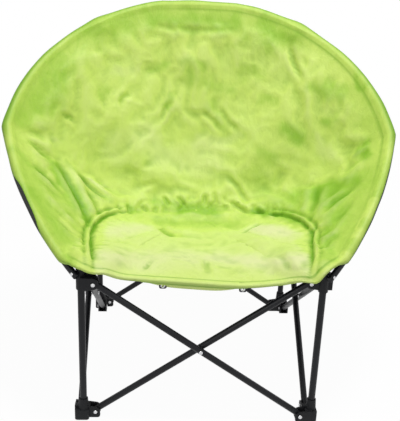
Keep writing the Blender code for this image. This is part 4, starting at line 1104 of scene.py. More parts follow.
class Cover:
    """The whole cover as one net of rows by columns, before it is cut into its four quarters."""

    def __init__(self, settings):
        self.settings = settings
        right = half_border(RIGHT_HEM, RIGHT_SLEEVE_START)
        left = half_border(LEFT_HEM, LEFT_SLEEVE_START) * (-1.0, 1.0, 1.0, 1.0, 1.0)
        ring = np.concatenate([right, left[-2:0:-1]])
        self.edge = ring[:, :2]
        self.edge_depth = ring[:, 2]
        self.run = ring[:, 3]
        self.power = ring[:, 4]
        self.hem = ease(self.run / HEM_FADE)
        self.columns = len(ring)
        self.reach = np.hypot(self.edge[:, 0], self.edge[:, 1] - BOWL_UP)
        self.turn = np.unwrap(np.arctan2(self.edge[:, 1] - BOWL_UP, self.edge[:, 0]))
        clamp = np.hypot(np.abs(self.edge[:, 0]) - HALF_BASE, self.edge[:, 1] - CLAMP_UP)
        self.clamp = mound(clamp, CLAMP_REACH)
        self.roll = settings.sleeve + (settings.hem - settings.sleeve) * self.hem
        self.roll = self.roll + CLAMP_SWELL * self.clamp
        rim = rim_world(self.edge[:, 0], self.edge[:, 1], self.edge_depth)
        uneven = SLEEVE_UNEVEN * value_noise(rim, SLEEVE_WAVE, 41)
        self.roll = self.roll * (1.0 + uneven * (1.0 - self.hem))
        share = np.linspace(0.0, 1.0, ROWS + 1)
        rows = (1.0 - (1.0 - share) ** ROW_CROWDING)[:, None]
        self.x = self.edge[None, :, 0] * rows
        self.u = BOWL_UP + (self.edge[None, :, 1] - BOWL_UP) * rows
        column = np.broadcast_to(np.arange(self.columns, dtype=float), self.x.shape)
        self.middle, self.inset = self.sheet(rows, column)
        self.column = column
        self.normal = grid_normals(self.middle)
        self.normal[0] = self.normal[1].mean(axis=0)
        self.outward = self.middle[-1] - self.middle[-2]
        self.outward /= np.linalg.norm(self.outward, axis=-1, keepdims=True)

    def at(self, values, column):
        """A value of the border at a place between columns."""
        return np.interp(column, np.arange(self.columns + 1), np.append(values, values[0]))

    def sheet(self, rows, column):
        """Points of the sheet halfway through the pad, and their distance from the border."""
        x = self.at(self.edge[:, 0], column) * rows
        u = BOWL_UP + (self.at(self.edge[:, 1], column) - BOWL_UP) * rows
        low = self.at(self.edge_depth, column)
        depth = low + (BOWL_DEPTH - low) * (1.0 - bowl_rise(rows, self.at(self.power, column)))
        return rim_world(x, u, over_hub(x, u, depth)), (1.0 - rows) * self.at(self.reach, column)

    def found(self, x, u):
        """Row share and column of points given in the rim plane."""
        turn = np.arctan2(u - BOWL_UP, x)
        start = self.turn[0]
        turn = start + (turn - start) % FULL_TURN
        column = np.interp(turn, np.append(self.turn, start + FULL_TURN), np.arange(self.columns + 1))
        return np.hypot(x, u - BOWL_UP) / self.at(self.reach, column), column

    def thickness(self, inset, column):
        """Half thickness above and below the sheet."""
        cover = self.settings
        hem = self.at(self.hem, column)
        roll = self.at(self.roll, column)
        neck = cover.neck + (HEM_NECK - cover.neck) * hem
        stitch = cover.stitch_inset * (1.0 + HEM_STITCH * hem)
        rim = roll + (neck - roll) * ease(inset / stitch)
        swell = ease((inset - stitch) / FILL_REACH)
        upper = np.where(inset < stitch, rim, neck + (cover.fill - neck) * swell)
        lower = np.where(inset < stitch, rim, neck + (UNDER_FILL - neck) * swell)
        room = CLAMP_ROOM * self.at(self.clamp, column) * mound(inset - CLAMP_INSET, CLAMP_WIDTH)
        return upper + room, lower + room

    def sewn_form(self, x, u, points, inset):
        """Height added to the upper sheet by seams, lobes and folds."""
        cover = self.settings
        height = np.zeros(x.shape)
        for sign in (-1.0, 1.0):
            across = (x - sign * LOBE_OUT) / LOBE_WIDTH
            along = (u - LOBE_UP) / LOBE_LENGTH
            height += cover.seat_crown * np.exp(-(across ** 2 + along ** 2))
        for line in (LEFT_ARCH, RIGHT_ARCH):
            gap, along = line_distance(x, u, line)
            fade = ease((line_length(line) - along) / ARCH_FADE) * (1.0 - ARCH_END) + ARCH_END
            height -= cover.seam_depth * fade * mound(gap, SEAM_WIDTH)
            height -= ARCH_DIP * fade * mound(gap, ARCH_DIP_WIDTH)
            welt = line_distance(x, u, welted(line, WELT_OUT))[0]
            height += WELT_HEIGHT * fade * mound(welt, WELT_WIDTH)
            outer = line_distance(x, u, welted(line, OUTER_SEAM_OUT))[0]
            height -= OUTER_SEAM_SHARE * cover.seam_depth * fade * mound(outer, SEAM_WIDTH)
            stray = PUCKER_STRAY * value_noise(points, PUCKER_WAVE, 4)
            pucker = np.cos(FULL_TURN * along / PUCKER_STEP + stray)
            height += PUCKER_HEIGHT * pucker * mound(gap - PUCKER_OUT, PUCKER_WIDTH)
        gap = line_distance(x, u, SEAT_BACK_LINE)[0]
        height -= SEAT_BACK_DIP * mound(gap, SEAT_BACK_WIDTH)
        for line, size, width in FOLDS + gathered_folds():
            gap, along = line_distance(x, u, line)
            total = line_length(line)
            fade = ease(along / (FOLD_FADE * total)) * ease((total - along) / (FOLD_FADE * total))
            height += size * fade * mound(gap, width)
            height -= FOLD_BANK * size * fade * mound(gap - 2.0 * width, width)
        for sign, dart in ((-1.0, LEFT_DART), (1.0, RIGHT_DART)):
            across = RIM_CORNER[0] - sign * x
            up = u - RIM_CORNER[1]
            rays = np.cos(DART_COUNT * np.arctan2(up, across) + DART_LEAN * sign)
            height += dart * (rays * mound(np.hypot(up, across) - DART_AWAY, DART_REACH))
        return height * np.maximum(above(inset, FORM_EDGE), FORM_LEAST)

    def crinkles(self, points, inset):
        """Small uneven creases of the slack cloth."""
        wrinkle = self.settings.wrinkle
        warp = np.stack([value_noise(points, WARP_SIZE, seed) for seed in (21, 22, 23)], axis=-1) * WARP_REACH
        broad = value_noise(points + warp, BROAD_SIZE, 3)
        medium = 1.0 - 2.0 * np.abs(value_noise(points + warp, MEDIUM_SIZE, 5))
        small = 1.0 - 2.0 * np.abs(value_noise(points + 0.6 * warp, SMALL_SIZE, 7))
        height = BROAD_HEIGHT * broad + wrinkle * medium + 0.5 * wrinkle * small
        return above(inset, CRINKLE_EDGE) * height

    def settled(self):
        """Heights that the slack upper sheet takes when the filling swells under it."""
        step = self.settings.net_step
        xs = np.arange(-RIM_CORNER[0], RIM_CORNER[0] + step, step)
        us = np.arange(NET_LOW, RIM_TOP[1] + step, step)
        x, u = np.meshgrid(xs, us, indexing="ij")
        rows, column = self.found(x, u)
        inside = rows < 1.0 - NET_INSET / self.at(self.reach, column)
        points, inset = self.sheet(np.minimum(rows, 1.0), column)
        normal = np.cross(np.gradient(points, axis=0), np.gradient(points, axis=1))
        normal /= np.linalg.norm(normal, axis=-1, keepdims=True)
        upper = self.thickness(inset, column)[0]
        upper = upper + self.sewn_form(x, u, points, inset) + NET_CRINKLE * self.crinkles(points, inset)
        start = points + normal * upper[..., None]
        held = 1.0 - above(inset, HELD_EDGE)
        for line in (LEFT_ARCH, RIGHT_ARCH, SEAT_BACK_LINE):
            held = np.maximum(held, SEAM_HOLD * mound(line_distance(x, u, line)[0], SEAM_HOLD_WIDTH))
        end = self.swollen(start, inside, held)
        rise = np.where(inside, np.sum((end - start) * normal, axis=-1), 0.0)
        swell = spread(rise, inside, int(SWELL_REACH / step))
        limit = self.settings.swell_limit
        rise = SWELL_SHARE * limit * np.tanh(swell / limit) + limit * np.tanh((rise - swell) / limit)
        calm = 1.0 - SEAT_CALM * below(u, CALM_TOP) * below(np.abs(x), CALM_SIDE)
        rise = np.where(inside, calm * spread(rise, inside, 1), 0.0)
        return self.sampled(rise, (self.x - xs[0]) / step, (self.u - us[0]) / step)

    def creases(self, height):
        """Painted shade from how deep the upper sheet lies below its surroundings, from -1 (painted
        highlight) on a ridge to 1 in a crease, with painted shade along the seams and the stitched line.
        """
        step = CREASE_STEP
        xs = np.arange(-RIM_CORNER[0] - CREASE_MARGIN, RIM_CORNER[0] + CREASE_MARGIN, step)
        us = np.arange(CREASE_LOW, RIM_TOP[1] + CREASE_MARGIN, step)
        i = np.rint((self.x - xs[0]) / step).astype(int)
        j = np.rint((self.u - us[0]) / step).astype(int)
        total = np.zeros((len(xs), len(us)))
        count = np.zeros(total.shape)
        np.add.at(total, (i, j), height)
        np.add.at(count, (i, j), 1.0)
        inside = count > 0.0
        grid = np.where(inside, total / np.maximum(count, 1.0), 0.0)
        near = spread(grid, inside, 1)
        fine = np.clip((spread(grid, inside, FINE_REACH) - near) / FINE_DEPTH, -1.0, 1.0)
        broad = np.clip((spread(grid, inside, BROAD_REACH) - near) / BROAD_DEPTH, -1.0, 1.0)
        depth = np.where(inside, FINE_SHARE * fine + BROAD_SHARE * broad, 0.0)
        painted_shade = self.sampled(depth, (self.x - xs[0]) / step, (self.u - us[0]) / step)
        stitch = self.settings.stitch_inset * (1.0 + HEM_STITCH * self.hem)[None, :]
        gap = line_distance(self.x, self.u, SEAT_BACK_LINE)[0]
        # Calmer painted crease shade, with a thin painted dark line, along the line between seat and back
        painted_shade = painted_shade * (1.0 - LINE_CALM * mound(gap, LINE_CALM_WIDTH))
        painted_shade = painted_shade + LINE_DARK * mound(gap, LINE_DARK_WIDTH)
        painted_shade = painted_shade * above(self.inset, CREASE_EDGE)
        # Painted shade along both lines of each arch seam
        for line in (LEFT_ARCH, RIGHT_ARCH):
            for reach, dark in ((0.0, SEAM_DARK), (OUTER_SEAM_OUT, OUTER_SEAM_DARK)):
                gap = line_distance(self.x, self.u, welted(line, reach))[0]
                painted_shade = painted_shade + dark * mound(gap, SEAM_DARK_WIDTH) * above(self.inset, SEAM_EDGE)
        # Painted shade in the groove of the stitched line beside the rim, uneven, stronger towards the upper
        # right and along the hem
        corner = above(self.edge[:, 0] + self.edge[:, 1], DARK_CORNER)
        strength = STITCH_DARK + STITCH_UNEVEN * value_noise(self.middle[-1], STITCH_WAVE, 31)
        strength = strength + STITCH_CORNER * corner
        strength = strength + STITCH_HEM * self.hem
        return painted_shade + strength[None, :] * mound(self.inset - stitch, STITCH_WIDTH)

    def nap_and_painted_light(self):
        """Which way the brushed nap lies, with painted light and shade of whole regions added, below 0 where
        it is pale and above 0 where it is deep.
        """
        x, u = self.x, self.u
        for (reach, size), seed in zip(NAP_STRAY, (51, 53)):
            x = x + reach * value_noise(self.middle, size, seed)
            u = u + reach * value_noise(self.middle, size, seed + 1)
        tone = np.zeros(x.shape)
        for start, end, width, depth in NAP_PATCHES:
            gap = line_distance(x, u, (start, end))[0]
            tone += depth * mound(gap, width)
        # Painted light and shade of whole regions: darker wings, upper rim and seat-back line, paler seat
        wing = above(np.abs(self.x), WING_INNER) * below(self.u, WING_TOP)
        rim = below(self.inset, RIM_INNER) * above(self.u, RIM_LOW)
        seat = below(self.u, SEAT_TOP) * below(np.abs(self.x), SEAT_SIDE)
        line = mound(line_distance(self.x, self.u, SEAT_BACK_LINE)[0], LINE_PAINTED_SHADE_WIDTH)
        tone = tone + WING_PAINTED_SHADE * wing + RIM_PAINTED_SHADE * rim + SEAT_PAINTED_LIGHT * seat + LINE_PAINTED_SHADE * line
        return np.clip(tone, PALEST, DEEPEST)

    def sampled(self, values, i, j):
        """Values of a grid at places between its points."""
        i = np.clip(i, 0.0, values.shape[0] - 1.001)
        j = np.clip(j, 0.0, values.shape[1] - 1.001)
        i0 = i.astype(int)
        j0 = j.astype(int)
        a, b = i - i0, j - j0
        low = values[i0, j0] * (1.0 - a) + values[i0 + 1, j0] * a
        high = values[i0, j0 + 1] * (1.0 - a) + values[i0 + 1, j0 + 1] * a
        return low * (1.0 - b) + high * b

    def swollen(self, start, inside, held):
        """Let a net of cloth, held along its seams, swell and wrinkle for a few frames."""
        number = np.full(inside.shape, -1)
        number[inside] = np.arange(inside.sum())
        corners = [number[:-1, :-1], number[1:, :-1], number[1:, 1:], number[:-1, 1:]]
        faces = np.stack(corners, axis=-1).reshape(-1, 4)
        faces = faces[(faces >= 0).all(axis=1)]
        mesh = bpy.data.meshes.new("slack_sheet")
        mesh.from_pydata(start[inside].tolist(), [], faces.tolist())
        sheet = bpy.data.objects.new("slack_sheet", mesh)
        scene = bpy.context.scene
        scene.collection.objects.link(sheet)
        group = sheet.vertex_groups.new(name="held")
        for index, weight in enumerate(held[inside]):
            group.add([index], float(weight), "REPLACE")
        cloth = sheet.modifiers.new("Cloth", "CLOTH")
        tuning = cloth.settings
        tuning.quality = 6
        tuning.mass = 0.25
        tuning.tension_stiffness = 14.0
        tuning.compression_stiffness = 8.0
        tuning.shear_stiffness = 6.0
        tuning.bending_stiffness = self.settings.bending
        tuning.air_damping = 3.0
        tuning.vertex_group_mass = "held"
        tuning.shrink_min = -self.settings.slack
        tuning.use_pressure = True
        tuning.uniform_pressure_force = self.settings.pressure
        tuning.effector_weights.gravity = 0.0
        cloth.collision_settings.use_collision = False
        cloth.point_cache.frame_start = 1
        cloth.point_cache.frame_end = SETTLE_FRAMES
        for moment in range(1, SETTLE_FRAMES + 1):
            scene.frame_set(moment)
        done = sheet.evaluated_get(bpy.context.evaluated_depsgraph_get())
        settled = done.to_mesh()
        moved = np.empty(3 * len(settled.vertices))
        settled.vertices.foreach_get("co", moved)
        done.to_mesh_clear()
        scene.frame_set(1)
        bpy.data.objects.remove(sheet)
        bpy.data.meshes.remove(mesh)
        end = start.copy()
        end[inside] = moved.reshape(-1, 3)
        if not np.isfinite(end).all():
            raise RuntimeError("the slack sheet did not settle")
        return end

    def upper_sheet(self):
        """Points of the upper sheet."""
        upper, lower = self.thickness(self.inset, self.column)
        relief = self.sewn_form(self.x, self.u, self.middle, self.inset)
        relief = relief + self.crinkles(self.middle, self.inset) + self.settled()
        height = -soft_least(-upper - relief, LEAST_SHARE * lower, LEAST_BLEND)
        height[0] = height[0].mean()
        self.painted_shade = self.creases(height - upper)
        return self.middle + self.normal * height[..., None]

    def lower_sheet(self):
        """Points of the lower sheet, which hangs a little below the front hem."""
        slack = UNDER_SLACK * value_noise(self.middle, UNDER_WAVE, 11) * above(self.inset, SLACK_EDGE)
        height = self.thickness(self.inset, self.column)[1] + slack
        height[0] = height[0].mean()
        points = self.middle - self.normal * height[..., None]
        drop = self.settings.underlap * self.underlap()
        hang = drop[None, :] * mound(self.inset - UNDERLAP_INSET, UNDERLAP_WIDTH)
        points[..., 2] -= hang
        self.hang = hang[-1]
        return points

    def underlap(self):
        """Where the under layer shows below the front hem, from 0 to 1."""
        return mound(self.edge[:, 0] - UNDERLAP_MIDDLE, UNDERLAP_HALF, 4) * self.hem

    def strips(self):
        """Upper sheet, rolled rim and lower sheet as one net, from the upper middle to the lower."""
        upper = self.upper_sheet()
        lower = self.lower_sheet()
        limit = np.radians(LIME_EDGE + DARK_TURN * self.dark_edge())
        caps = []
        half = CAP_ROWS // 2
        for k in range(1, CAP_ROWS):
            if k <= half:
                angle = math.pi / 2.0 + (limit - math.pi / 2.0) * k / half
            else:
                angle = limit + (-math.pi / 2.0 - limit) * (k - half) / (CAP_ROWS - half)
            ring = self.middle[-1] + self.roll[:, None] * (
                self.outward * np.cos(angle)[:, None] + self.normal[-1] * np.sin(angle)[:, None])
            ring[:, 2] -= self.hang * ease((k - half) / (CAP_ROWS - half))
            caps.append(ring)
        under = lower[ROWS:0:-LOWER_STEP]
        # Painted shade round the roll, growing from its top over its outer edge; later on the lower sides,
        # evenly along the hem
        rows = np.arange(1, CAP_ROWS)
        rolled = np.interp(rows, *ROLLED_SHADE)[:, None]
        sides = np.interp(rows, *SIDE_SHADE)[:, None]
        turned_in = np.linspace(*HEM_SHADE, CAP_ROWS - 1)[:, None]
        shade = rolled + (sides - rolled) * below(self.edge[:, 1], SHADE_TOP)[None, :]
        shade = shade + (turned_in - shade) * self.hem[None, :]
        self.shade = np.concatenate([self.painted_shade[1:], shade, np.zeros(under.shape[:2])])
        tone = self.nap_and_painted_light()
        edge = np.repeat(tone[-1:], CAP_ROWS - 1, axis=0)
        self.tone = np.concatenate([tone[1:], edge, np.zeros(under.shape[:2])])
        return np.concatenate([upper[1:], np.array(caps), under]), upper[0, 0], lower[0, 0]

    def lime_rows(self):
        """How many rows of each column of the net are lime before the dark backing begins."""
        return ROWS + CAP_ROWS // 2 - 1 + np.where(self.underlap() > UNDERLAP_SHOWN, UNDERLAP_ROWS, 0)

    def dark_edge(self):
        """How far the dark backing shows round the rim, column by column."""
        x, u = self.edge[:, 0], self.edge[:, 1]
        left = mound(u - LEFT_DARK[0], LEFT_DARK[1], 4) * (x < -DARK_OUT)
        right = mound(u - RIGHT_DARK[0], RIGHT_DARK[1], 4) * (x > DARK_OUT)
        return (left + RIGHT_DARK_SHARE * right) * (1.0 - self.hem)


QUARTERS = {
    "front_right": (0, FRONT_COLUMNS, "lower_arm_right"),
    "back_right": (FRONT_COLUMNS, HALF_COLUMNS, "upper_arm_right"),
    "back_left": (HALF_COLUMNS, 2 * HALF_COLUMNS - FRONT_COLUMNS, "upper_arm_left"),
    "front_left": (2 * HALF_COLUMNS - FRONT_COLUMNS, 2 * HALF_COLUMNS, "lower_arm_left"),
}


def quarter_fold(name):
    """Axis and anchor of the plane that parts a quarter's sleeve from its pad."""
    side = 1.0 if name.endswith("right") else -1.0
    front = name.startswith("front")
    arc = LOWER_ARC if front else UPPER_ARC
    ends = [rim_world(side * arc.point(share)[0], arc.point(share)[1], 0.0) for share in (0.0, 1.0)]
    chord = Vector(ends[1] - ends[0]).normalized()
    inner = Vector(rim_world(side * PAD_OUT, FRONT_PAD_UP if front else BACK_PAD_UP, PAD_DEPTH))
    start = Vector(ends[0])
    axis = inner - start
    axis -= chord * axis.dot(chord)
    axis.normalize()
    return axis, start + axis * (FRONT_PARTING if front else BACK_PARTING)


def gather(piece, name):
    """Give a soft piece a mesh of its own."""
    axis, anchor = quarter_fold(name)
    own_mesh(piece)


def quarter_mesh(net, top, under, shades, lime_rows, first, last, name):
    """One closed quarter of the cover."""
    length, columns = net.shape[:2]
    span = [index % columns for index in range(first, last + 1)]
    verts = [tuple(top), tuple(under)]
    for column in span:
        verts += [tuple(point) for point in net[:, column]]
    faces = []
    skins = []

    def at(column, row):
        return 2 + column * length + row

    for column in range(len(span) - 1):
        faces.append((0, at(column, 0), at(column + 1, 0)))
        skins.append(0)
        for row in range(length - 1):
            faces.append((at(column, row), at(column, row + 1), at(column + 1, row + 1), at(column + 1, row)))
            skins.append(0 if row < lime_rows[span[column]] else 1)
        faces.append((1, at(column + 1, length - 1), at(column, length - 1)))
        skins.append(1)
    walls = len(faces)
    under_rows = ROWS // LOWER_STEP
    for column in (0, len(span) - 1):
        above = [0] + [at(column, row) for row in range(ROWS)]
        below = [1] + [at(column, length - 1 - row) for row in range(under_rows)]
        for step in range(under_rows):
            edge = above[step * LOWER_STEP:(step + 1) * LOWER_STEP + 1]
            faces.append((*edge, below[step + 1], below[step]))
        faces.append(tuple(at(column, row) for row in range(ROWS - 1, length - under_rows + 1)))
    skins += [0] * (len(faces) - walls)
    mesh = bpy.data.meshes.new(name)
    mesh.from_pydata(verts, [], faces)
    for face, skin in zip(mesh.polygons, skins):
        face.material_index = skin
        face.use_smooth = True
    bm = bmesh.new()
    bm.from_mesh(mesh)
    bmesh.ops.recalc_face_normals(bm, faces=bm.faces)
    bm.to_mesh(mesh)
    bm.free()
    for label, values in shades.items():
        shade = mesh.attributes.new(label, "FLOAT", "POINT")
        shade.data.foreach_set("value", np.concatenate([[0.0, 0.0]] + [values[:, column] for column in span]))
    normals = grid_normals(net)
    ends = [normals[0].mean(axis=0)[None], normals[-1].mean(axis=0)[None]]
    lie = mesh.attributes.new("lie", "FLOAT_VECTOR", "POINT")
    lie.data.foreach_set("vector", np.concatenate(ends + [normals[:, column] for column in span]).ravel())
    wall = mesh.attributes.new("wall", "INT", "FACE")
    wall.data.foreach_set("value", (np.arange(len(faces)) >= walls).astype(np.int32))
    mesh.update()
    return mesh


def parted(quarter, axis, anchor, inner, name):
    """The part of a quarter on one side of a plane, closed with a wall along the cut."""
    bm = bmesh.new()
    bm.from_mesh(quarter)
    bmesh.ops.bisect_plane(bm, geom=bm.verts[:] + bm.edges[:] + bm.faces[:], dist=0.00001, plane_co=anchor,
                           plane_no=axis, clear_inner=inner, clear_outer=not inner)
    wall = bm.faces.layers.int["wall"]
    rim = [edge for edge in bm.edges if edge.is_boundary]
    for face in bmesh.ops.holes_fill(bm, edges=rim, sides=0)["faces"]:
        face[wall] = 1
        face.material_index = 0
    if any(not edge.is_manifold for edge in bm.edges):
        raise RuntimeError(name + " is not closed")
    bmesh.ops.recalc_face_normals(bm, faces=bm.faces)
    mesh = bpy.data.meshes.new(name)
    bm.to_mesh(mesh)
    bm.free()
    return mesh


def blended_normals(mesh):
    """Give a part of the cover the normals of the whole, so that no line shows where parts meet."""
    lie = np.empty(3 * len(mesh.vertices), np.float32)
    mesh.attributes["lie"].data.foreach_get("vector", lie)
    wall = np.empty(len(mesh.polygons), np.int32)
    mesh.attributes["wall"].data.foreach_get("value", wall)
    count = np.empty(len(mesh.polygons), np.int32)
    mesh.polygons.foreach_get("loop_total", count)
    faces = np.empty(3 * len(mesh.polygons), np.float32)
    mesh.polygons.foreach_get("normal", faces)
    corner = np.empty(len(mesh.loops), np.int32)
    mesh.loops.foreach_get("vertex_index", corner)
    faces = np.repeat(faces.reshape(-1, 3), count, axis=0)
    normals = lie.reshape(-1, 3)[corner]
    on_wall = np.repeat(wall, count) > 0
    if np.sum((normals * faces)[~on_wall]) < 0.0:
        normals = -normals
    normals = np.where(on_wall[:, None], faces, normals)
    normals /= np.maximum(np.linalg.norm(normals, axis=1, keepdims=True), 1e-9)
    mesh.normals_split_custom_set(normals.tolist())
    mesh.attributes.remove(mesh.attributes["lie"])
    mesh.attributes.remove(mesh.attributes["wall"])


class CHAIR_OT_cover(bpy.types.Operator):
    """Sew the padded cover and cut it into the quarters that follow the rim arms"""

    bl_idname = "chair.cover"
    bl_label = "Padded cover"

    def execute(self, context):
        cover = Cover(context.scene.chair_cover)
        net, top, under = cover.strips()
        shades = {"painted_shade": cover.shade, "nap_and_painted_light": cover.tone}
        for name, (first, last, body) in QUARTERS.items():
            quarter = quarter_mesh(net, top, under, shades, cover.lime_rows(), first, last, "quarter_" + name)
            for label, inner in (("pad_", True), ("sleeve_", False)):
                mesh = parted(quarter, *quarter_fold(name), inner, label + name)
                blended_normals(mesh)
                piece = new_piece(label + name, mesh, ("lime", "backing"), body, ["cover_" + name])
                if inner:
                    gather(piece, name)
            bpy.data.meshes.remove(quarter)
        return {"FINISHED"}


def tube(node, body, path, radius, lip, sides):
    """A coated tube along a path, in place of a CAD node."""
    bm = bmesh.new()
    swept(bm, *rounded_ends(path, radius, lip), sides)
    new_piece("tube_" + node, mesh_of(bm, node), ("coat",), body, [node])


def dress(name, key):
    """Give a CAD node its finish."""
    obj = frame["nodes"][name]
    obj.data.materials.clear()
    obj.data.materials.append(material(key))


class CHAIR_OT_tubes(bpy.types.Operator):
    """Draw the round tubes of the base, the uprights and the rim arms"""

    bl_idname = "chair.tubes"
    bl_label = "Tubes"

    def execute(self, context):
        tubes = context.scene.chair_tubes
        sides = tubes.tube_sides
        for index, side in enumerate(("front", "right", "rear", "left")):
            turn = Matrix.Rotation(math.radians(90.0 * index), 4, "Z")
            turn = Matrix.Translation((0.0, BASE_Y, 0.0)) @ turn
            for name, layer, way in (("outer", -LAYER, -1.0), ("inner", LAYER, 1.0)):
                foot = turn @ Vector((-way * PIVOT_REACH, -HALF_BASE + layer, FOOT_HEIGHT))
                hub = turn @ Vector((way * PIVOT_REACH, -HALF_BASE + layer, HUB_HEIGHT))
                over = (hub - foot).normalized() * CROSS_OVER
                node = "cross_%s_%s" % (side, name)
                tube(node, node, [foot - over, hub + over], tubes.cross_radius, CUT_LIP, sides)
        start = LOWER_ARC.point(0.0)
        ahead = LOWER_ARC.point(0.001)
        step = math.dist(start, ahead)
        first = [a - (b - a) * ARM_BEHIND / step for a, b in zip(start, ahead)]
        points = [first] + [LOWER_ARC.point(i / ARM_STEPS * ARM_SHARE) for i in range(ARM_STEPS + 1)]
        for name, sign in (("left", -1.0), ("right", 1.0)):
            node = "lower_arm_" + name
            path = [Vector(rim_world(sign * x, u, 0.0)) for x, u in points]
            tube(node, node, path, ARM_RADIUS, CUT_LIP, sides)
        for corner in ("front_left", "front_right"):
            node = "upright_" + corner
            low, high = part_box(node)
            middle = (Vector(low) + Vector(high)) / 2.0
            path = [Vector((middle.x, middle.y, height)) for height in (low[2], high[2])]
            tube(node, corner + "_leg", path, tubes.upright_radius, UPRIGHT_LIP, sides)
        for name in frame["nodes"]:
            if name.startswith(("slide_", "upper_arm_", "upright_rear")):
                dress(name, "coat")
        return {"FINISHED"}


def moulding_bodies():
    """The moulded nodes and the bodies that carry them."""
    found = {}
    for body, nodes in RECORD["behaviour"]["bodies"].items():
        for node in nodes:
            if node.startswith(("foot_", "hub_", "arm_clamp_")) and "rivet" not in node:
                found[node] = body
    return found


class CHAIR_OT_mouldings(bpy.types.Operator):
    """Ease the edges of the moulded feet, hubs and clamps"""

    bl_idname = "chair.mouldings"
    bl_label = "Mouldings"

    def execute(self, context):
        tubes = context.scene.chair_tubes
        for node, body in moulding_bodies().items():
            mesh = frame["nodes"][node].data.copy()
            bm = bmesh.new()
            bm.from_mesh(mesh)
            bmesh.ops.remove_doubles(bm, verts=bm.verts, dist=WELD)
            bmesh.ops.dissolve_limit(bm, angle_limit=math.radians(FLAT_ANGLE), verts=bm.verts, edges=bm.edges)
            joined = [edge for edge in bm.edges if edge.is_manifold]
            sharp = [edge for edge in joined if edge.calc_face_angle() > math.radians(SHARP_ANGLE)]
            bmesh.ops.bevel(bm, geom=sharp, offset=tubes.moulding_round, segments=2, profile=0.6,
                            affect="EDGES", clamp_overlap=True)
            bm.to_mesh(mesh)
            bm.free()
            mesh.materials.clear()
            for face in mesh.polygons:
                face.use_smooth = True
            mesh.set_sharp_from_angle(angle=math.radians(MOULDING_CREASE))
            new_piece("moulding_" + node, mesh, ("plastic",), body, [node])
        return {"FINISHED"}


def rivet(node, body):
    """One rivet, with a rolled rim under its dome and a dimple in its set end."""
    low, high = (Vector(corner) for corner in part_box(node))
    size = high - low
    if node.startswith("arm_rivet"):
        side = 1.0 if node.endswith("right") else -1.0
        axis = Vector((side, -1.0, 0.0)).normalized()
        length = size.x * math.sqrt(2.0) - 2.0 * RIVET_RADIUS
    elif node.startswith("clamp_rivet"):
        name = "left" if node.endswith("left") else "right"
        axis = Vector(JOINTS["upper_arm_" + name + "_swing"]["axis"]).normalized()
        length = (size.x - 2.0 * RIVET_RADIUS * abs(axis.y)) / abs(axis.x)
    else:
        axis = Vector([1.0 if size[i] == max(size) else 0.0 for i in range(3)])
        length = max(size)
    half = length / 2.0
    dome = [(RIVET_RADIUS * out, half - RIVET_HEAD * down) for out, down in DOME]
    dome.append((SHANK_RADIUS, half - RIVET_HEAD))
    washer = WASHER if node.startswith("cross_rivet") else []
    set_end = [(radius, -half + RIVET_HEAD * up) for radius, up in DIMPLE]
    set_end += [(RIVET_RADIUS * out, -half + RIVET_HEAD * up) for out, up in SET_RIM]
    set_end.append((SHANK_RADIUS, -half + RIVET_HEAD))
    place = Matrix.Translation((low + high) / 2.0) @ axis.to_track_quat("Z", "Y").to_matrix().to_4x4()
    bm = bmesh.new()
    turned(bm, dome + washer + set_end[::-1], place, RIVET_SIDES)
    mesh = mesh_of(bm, node)
    mesh.set_sharp_from_angle(angle=math.radians(RIVET_CREASE))
    new_piece("bright_" + node, mesh, ("rivet",), body, [node])


class CHAIR_OT_rivets(bpy.types.Operator):
    """Turn the bright domed rivets"""

    bl_idname = "chair.rivets"
    bl_label = "Rivets"

    def execute(self, context):
        for body, nodes in RECORD["behaviour"]["bodies"].items():
            for node in nodes:
                if "rivet" in node:
                    rivet(node, body)
        return {"FINISHED"}


class CHAIR_OT_tabs(bpy.types.Operator):
    """Make the webbing tabs with their eyelets under the front hem"""

    bl_idname = "chair.tabs"
    bl_label = "Eyelet tabs"

    def execute(self, context):
        for name in ("left", "right"):
            node = "eyelet_tab_" + name
            low, high = (Vector(corner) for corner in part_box(node))
            centre = Vector(((low.x + high.x) / 2.0, (low.y + high.y) / 2.0, low.z + EYELET_UP))
            mesh = frame["nodes"][node].data.copy()
            mesh.materials.clear()
            bm = bmesh.new()
            bm.from_mesh(mesh)
            bmesh.ops.remove_doubles(bm, verts=bm.verts, dist=WELD)
            tape_faces = len(bm.faces)
            place = Matrix.Translation(centre) @ Matrix.Rotation(math.radians(90.0), 4, "X")
            turned(bm, EYELET_RING, place, EYELET_SIDES)
            bmesh.ops.translate(bm, vec=(0.0, 0.0, -TAB_DROPS[name]), verts=bm.verts)
            bmesh.ops.remove_doubles(bm, verts=bm.verts, dist=0.00001)
            bm.faces.ensure_lookup_table()
            for face in bm.faces[tape_faces:]:
                face.material_index = 1
            tab = new_piece("tape_" + node, mesh_of(bm, node), ("tape", "rivet"), "lower_arm_" + name, [node])
            tab.data.set_sharp_from_angle(angle=math.radians(TAB_CREASE))
            gather(tab, "front_" + name)
        return {"FINISHED"}


def seen(paint):
    """1 for rays that show the stage to the camera, directly or in a reflection."""
    rays = paint.node("ShaderNodeLightPath", {}, {})
    return (rays["Is Camera Ray"] + rays["Is Glossy Ray"] + rays["Is Transmission Ray"]).clamped()


def make_world(scene, stage):
    """A white surround that lights the chair evenly."""
    scene.world = bpy.data.worlds.new("soft_surround")
    paint = Paint(scene.world, "Background")
    paint.set(Color=WHITE, Strength=stage.ambient + seen(paint) * (1.0 - stage.ambient))


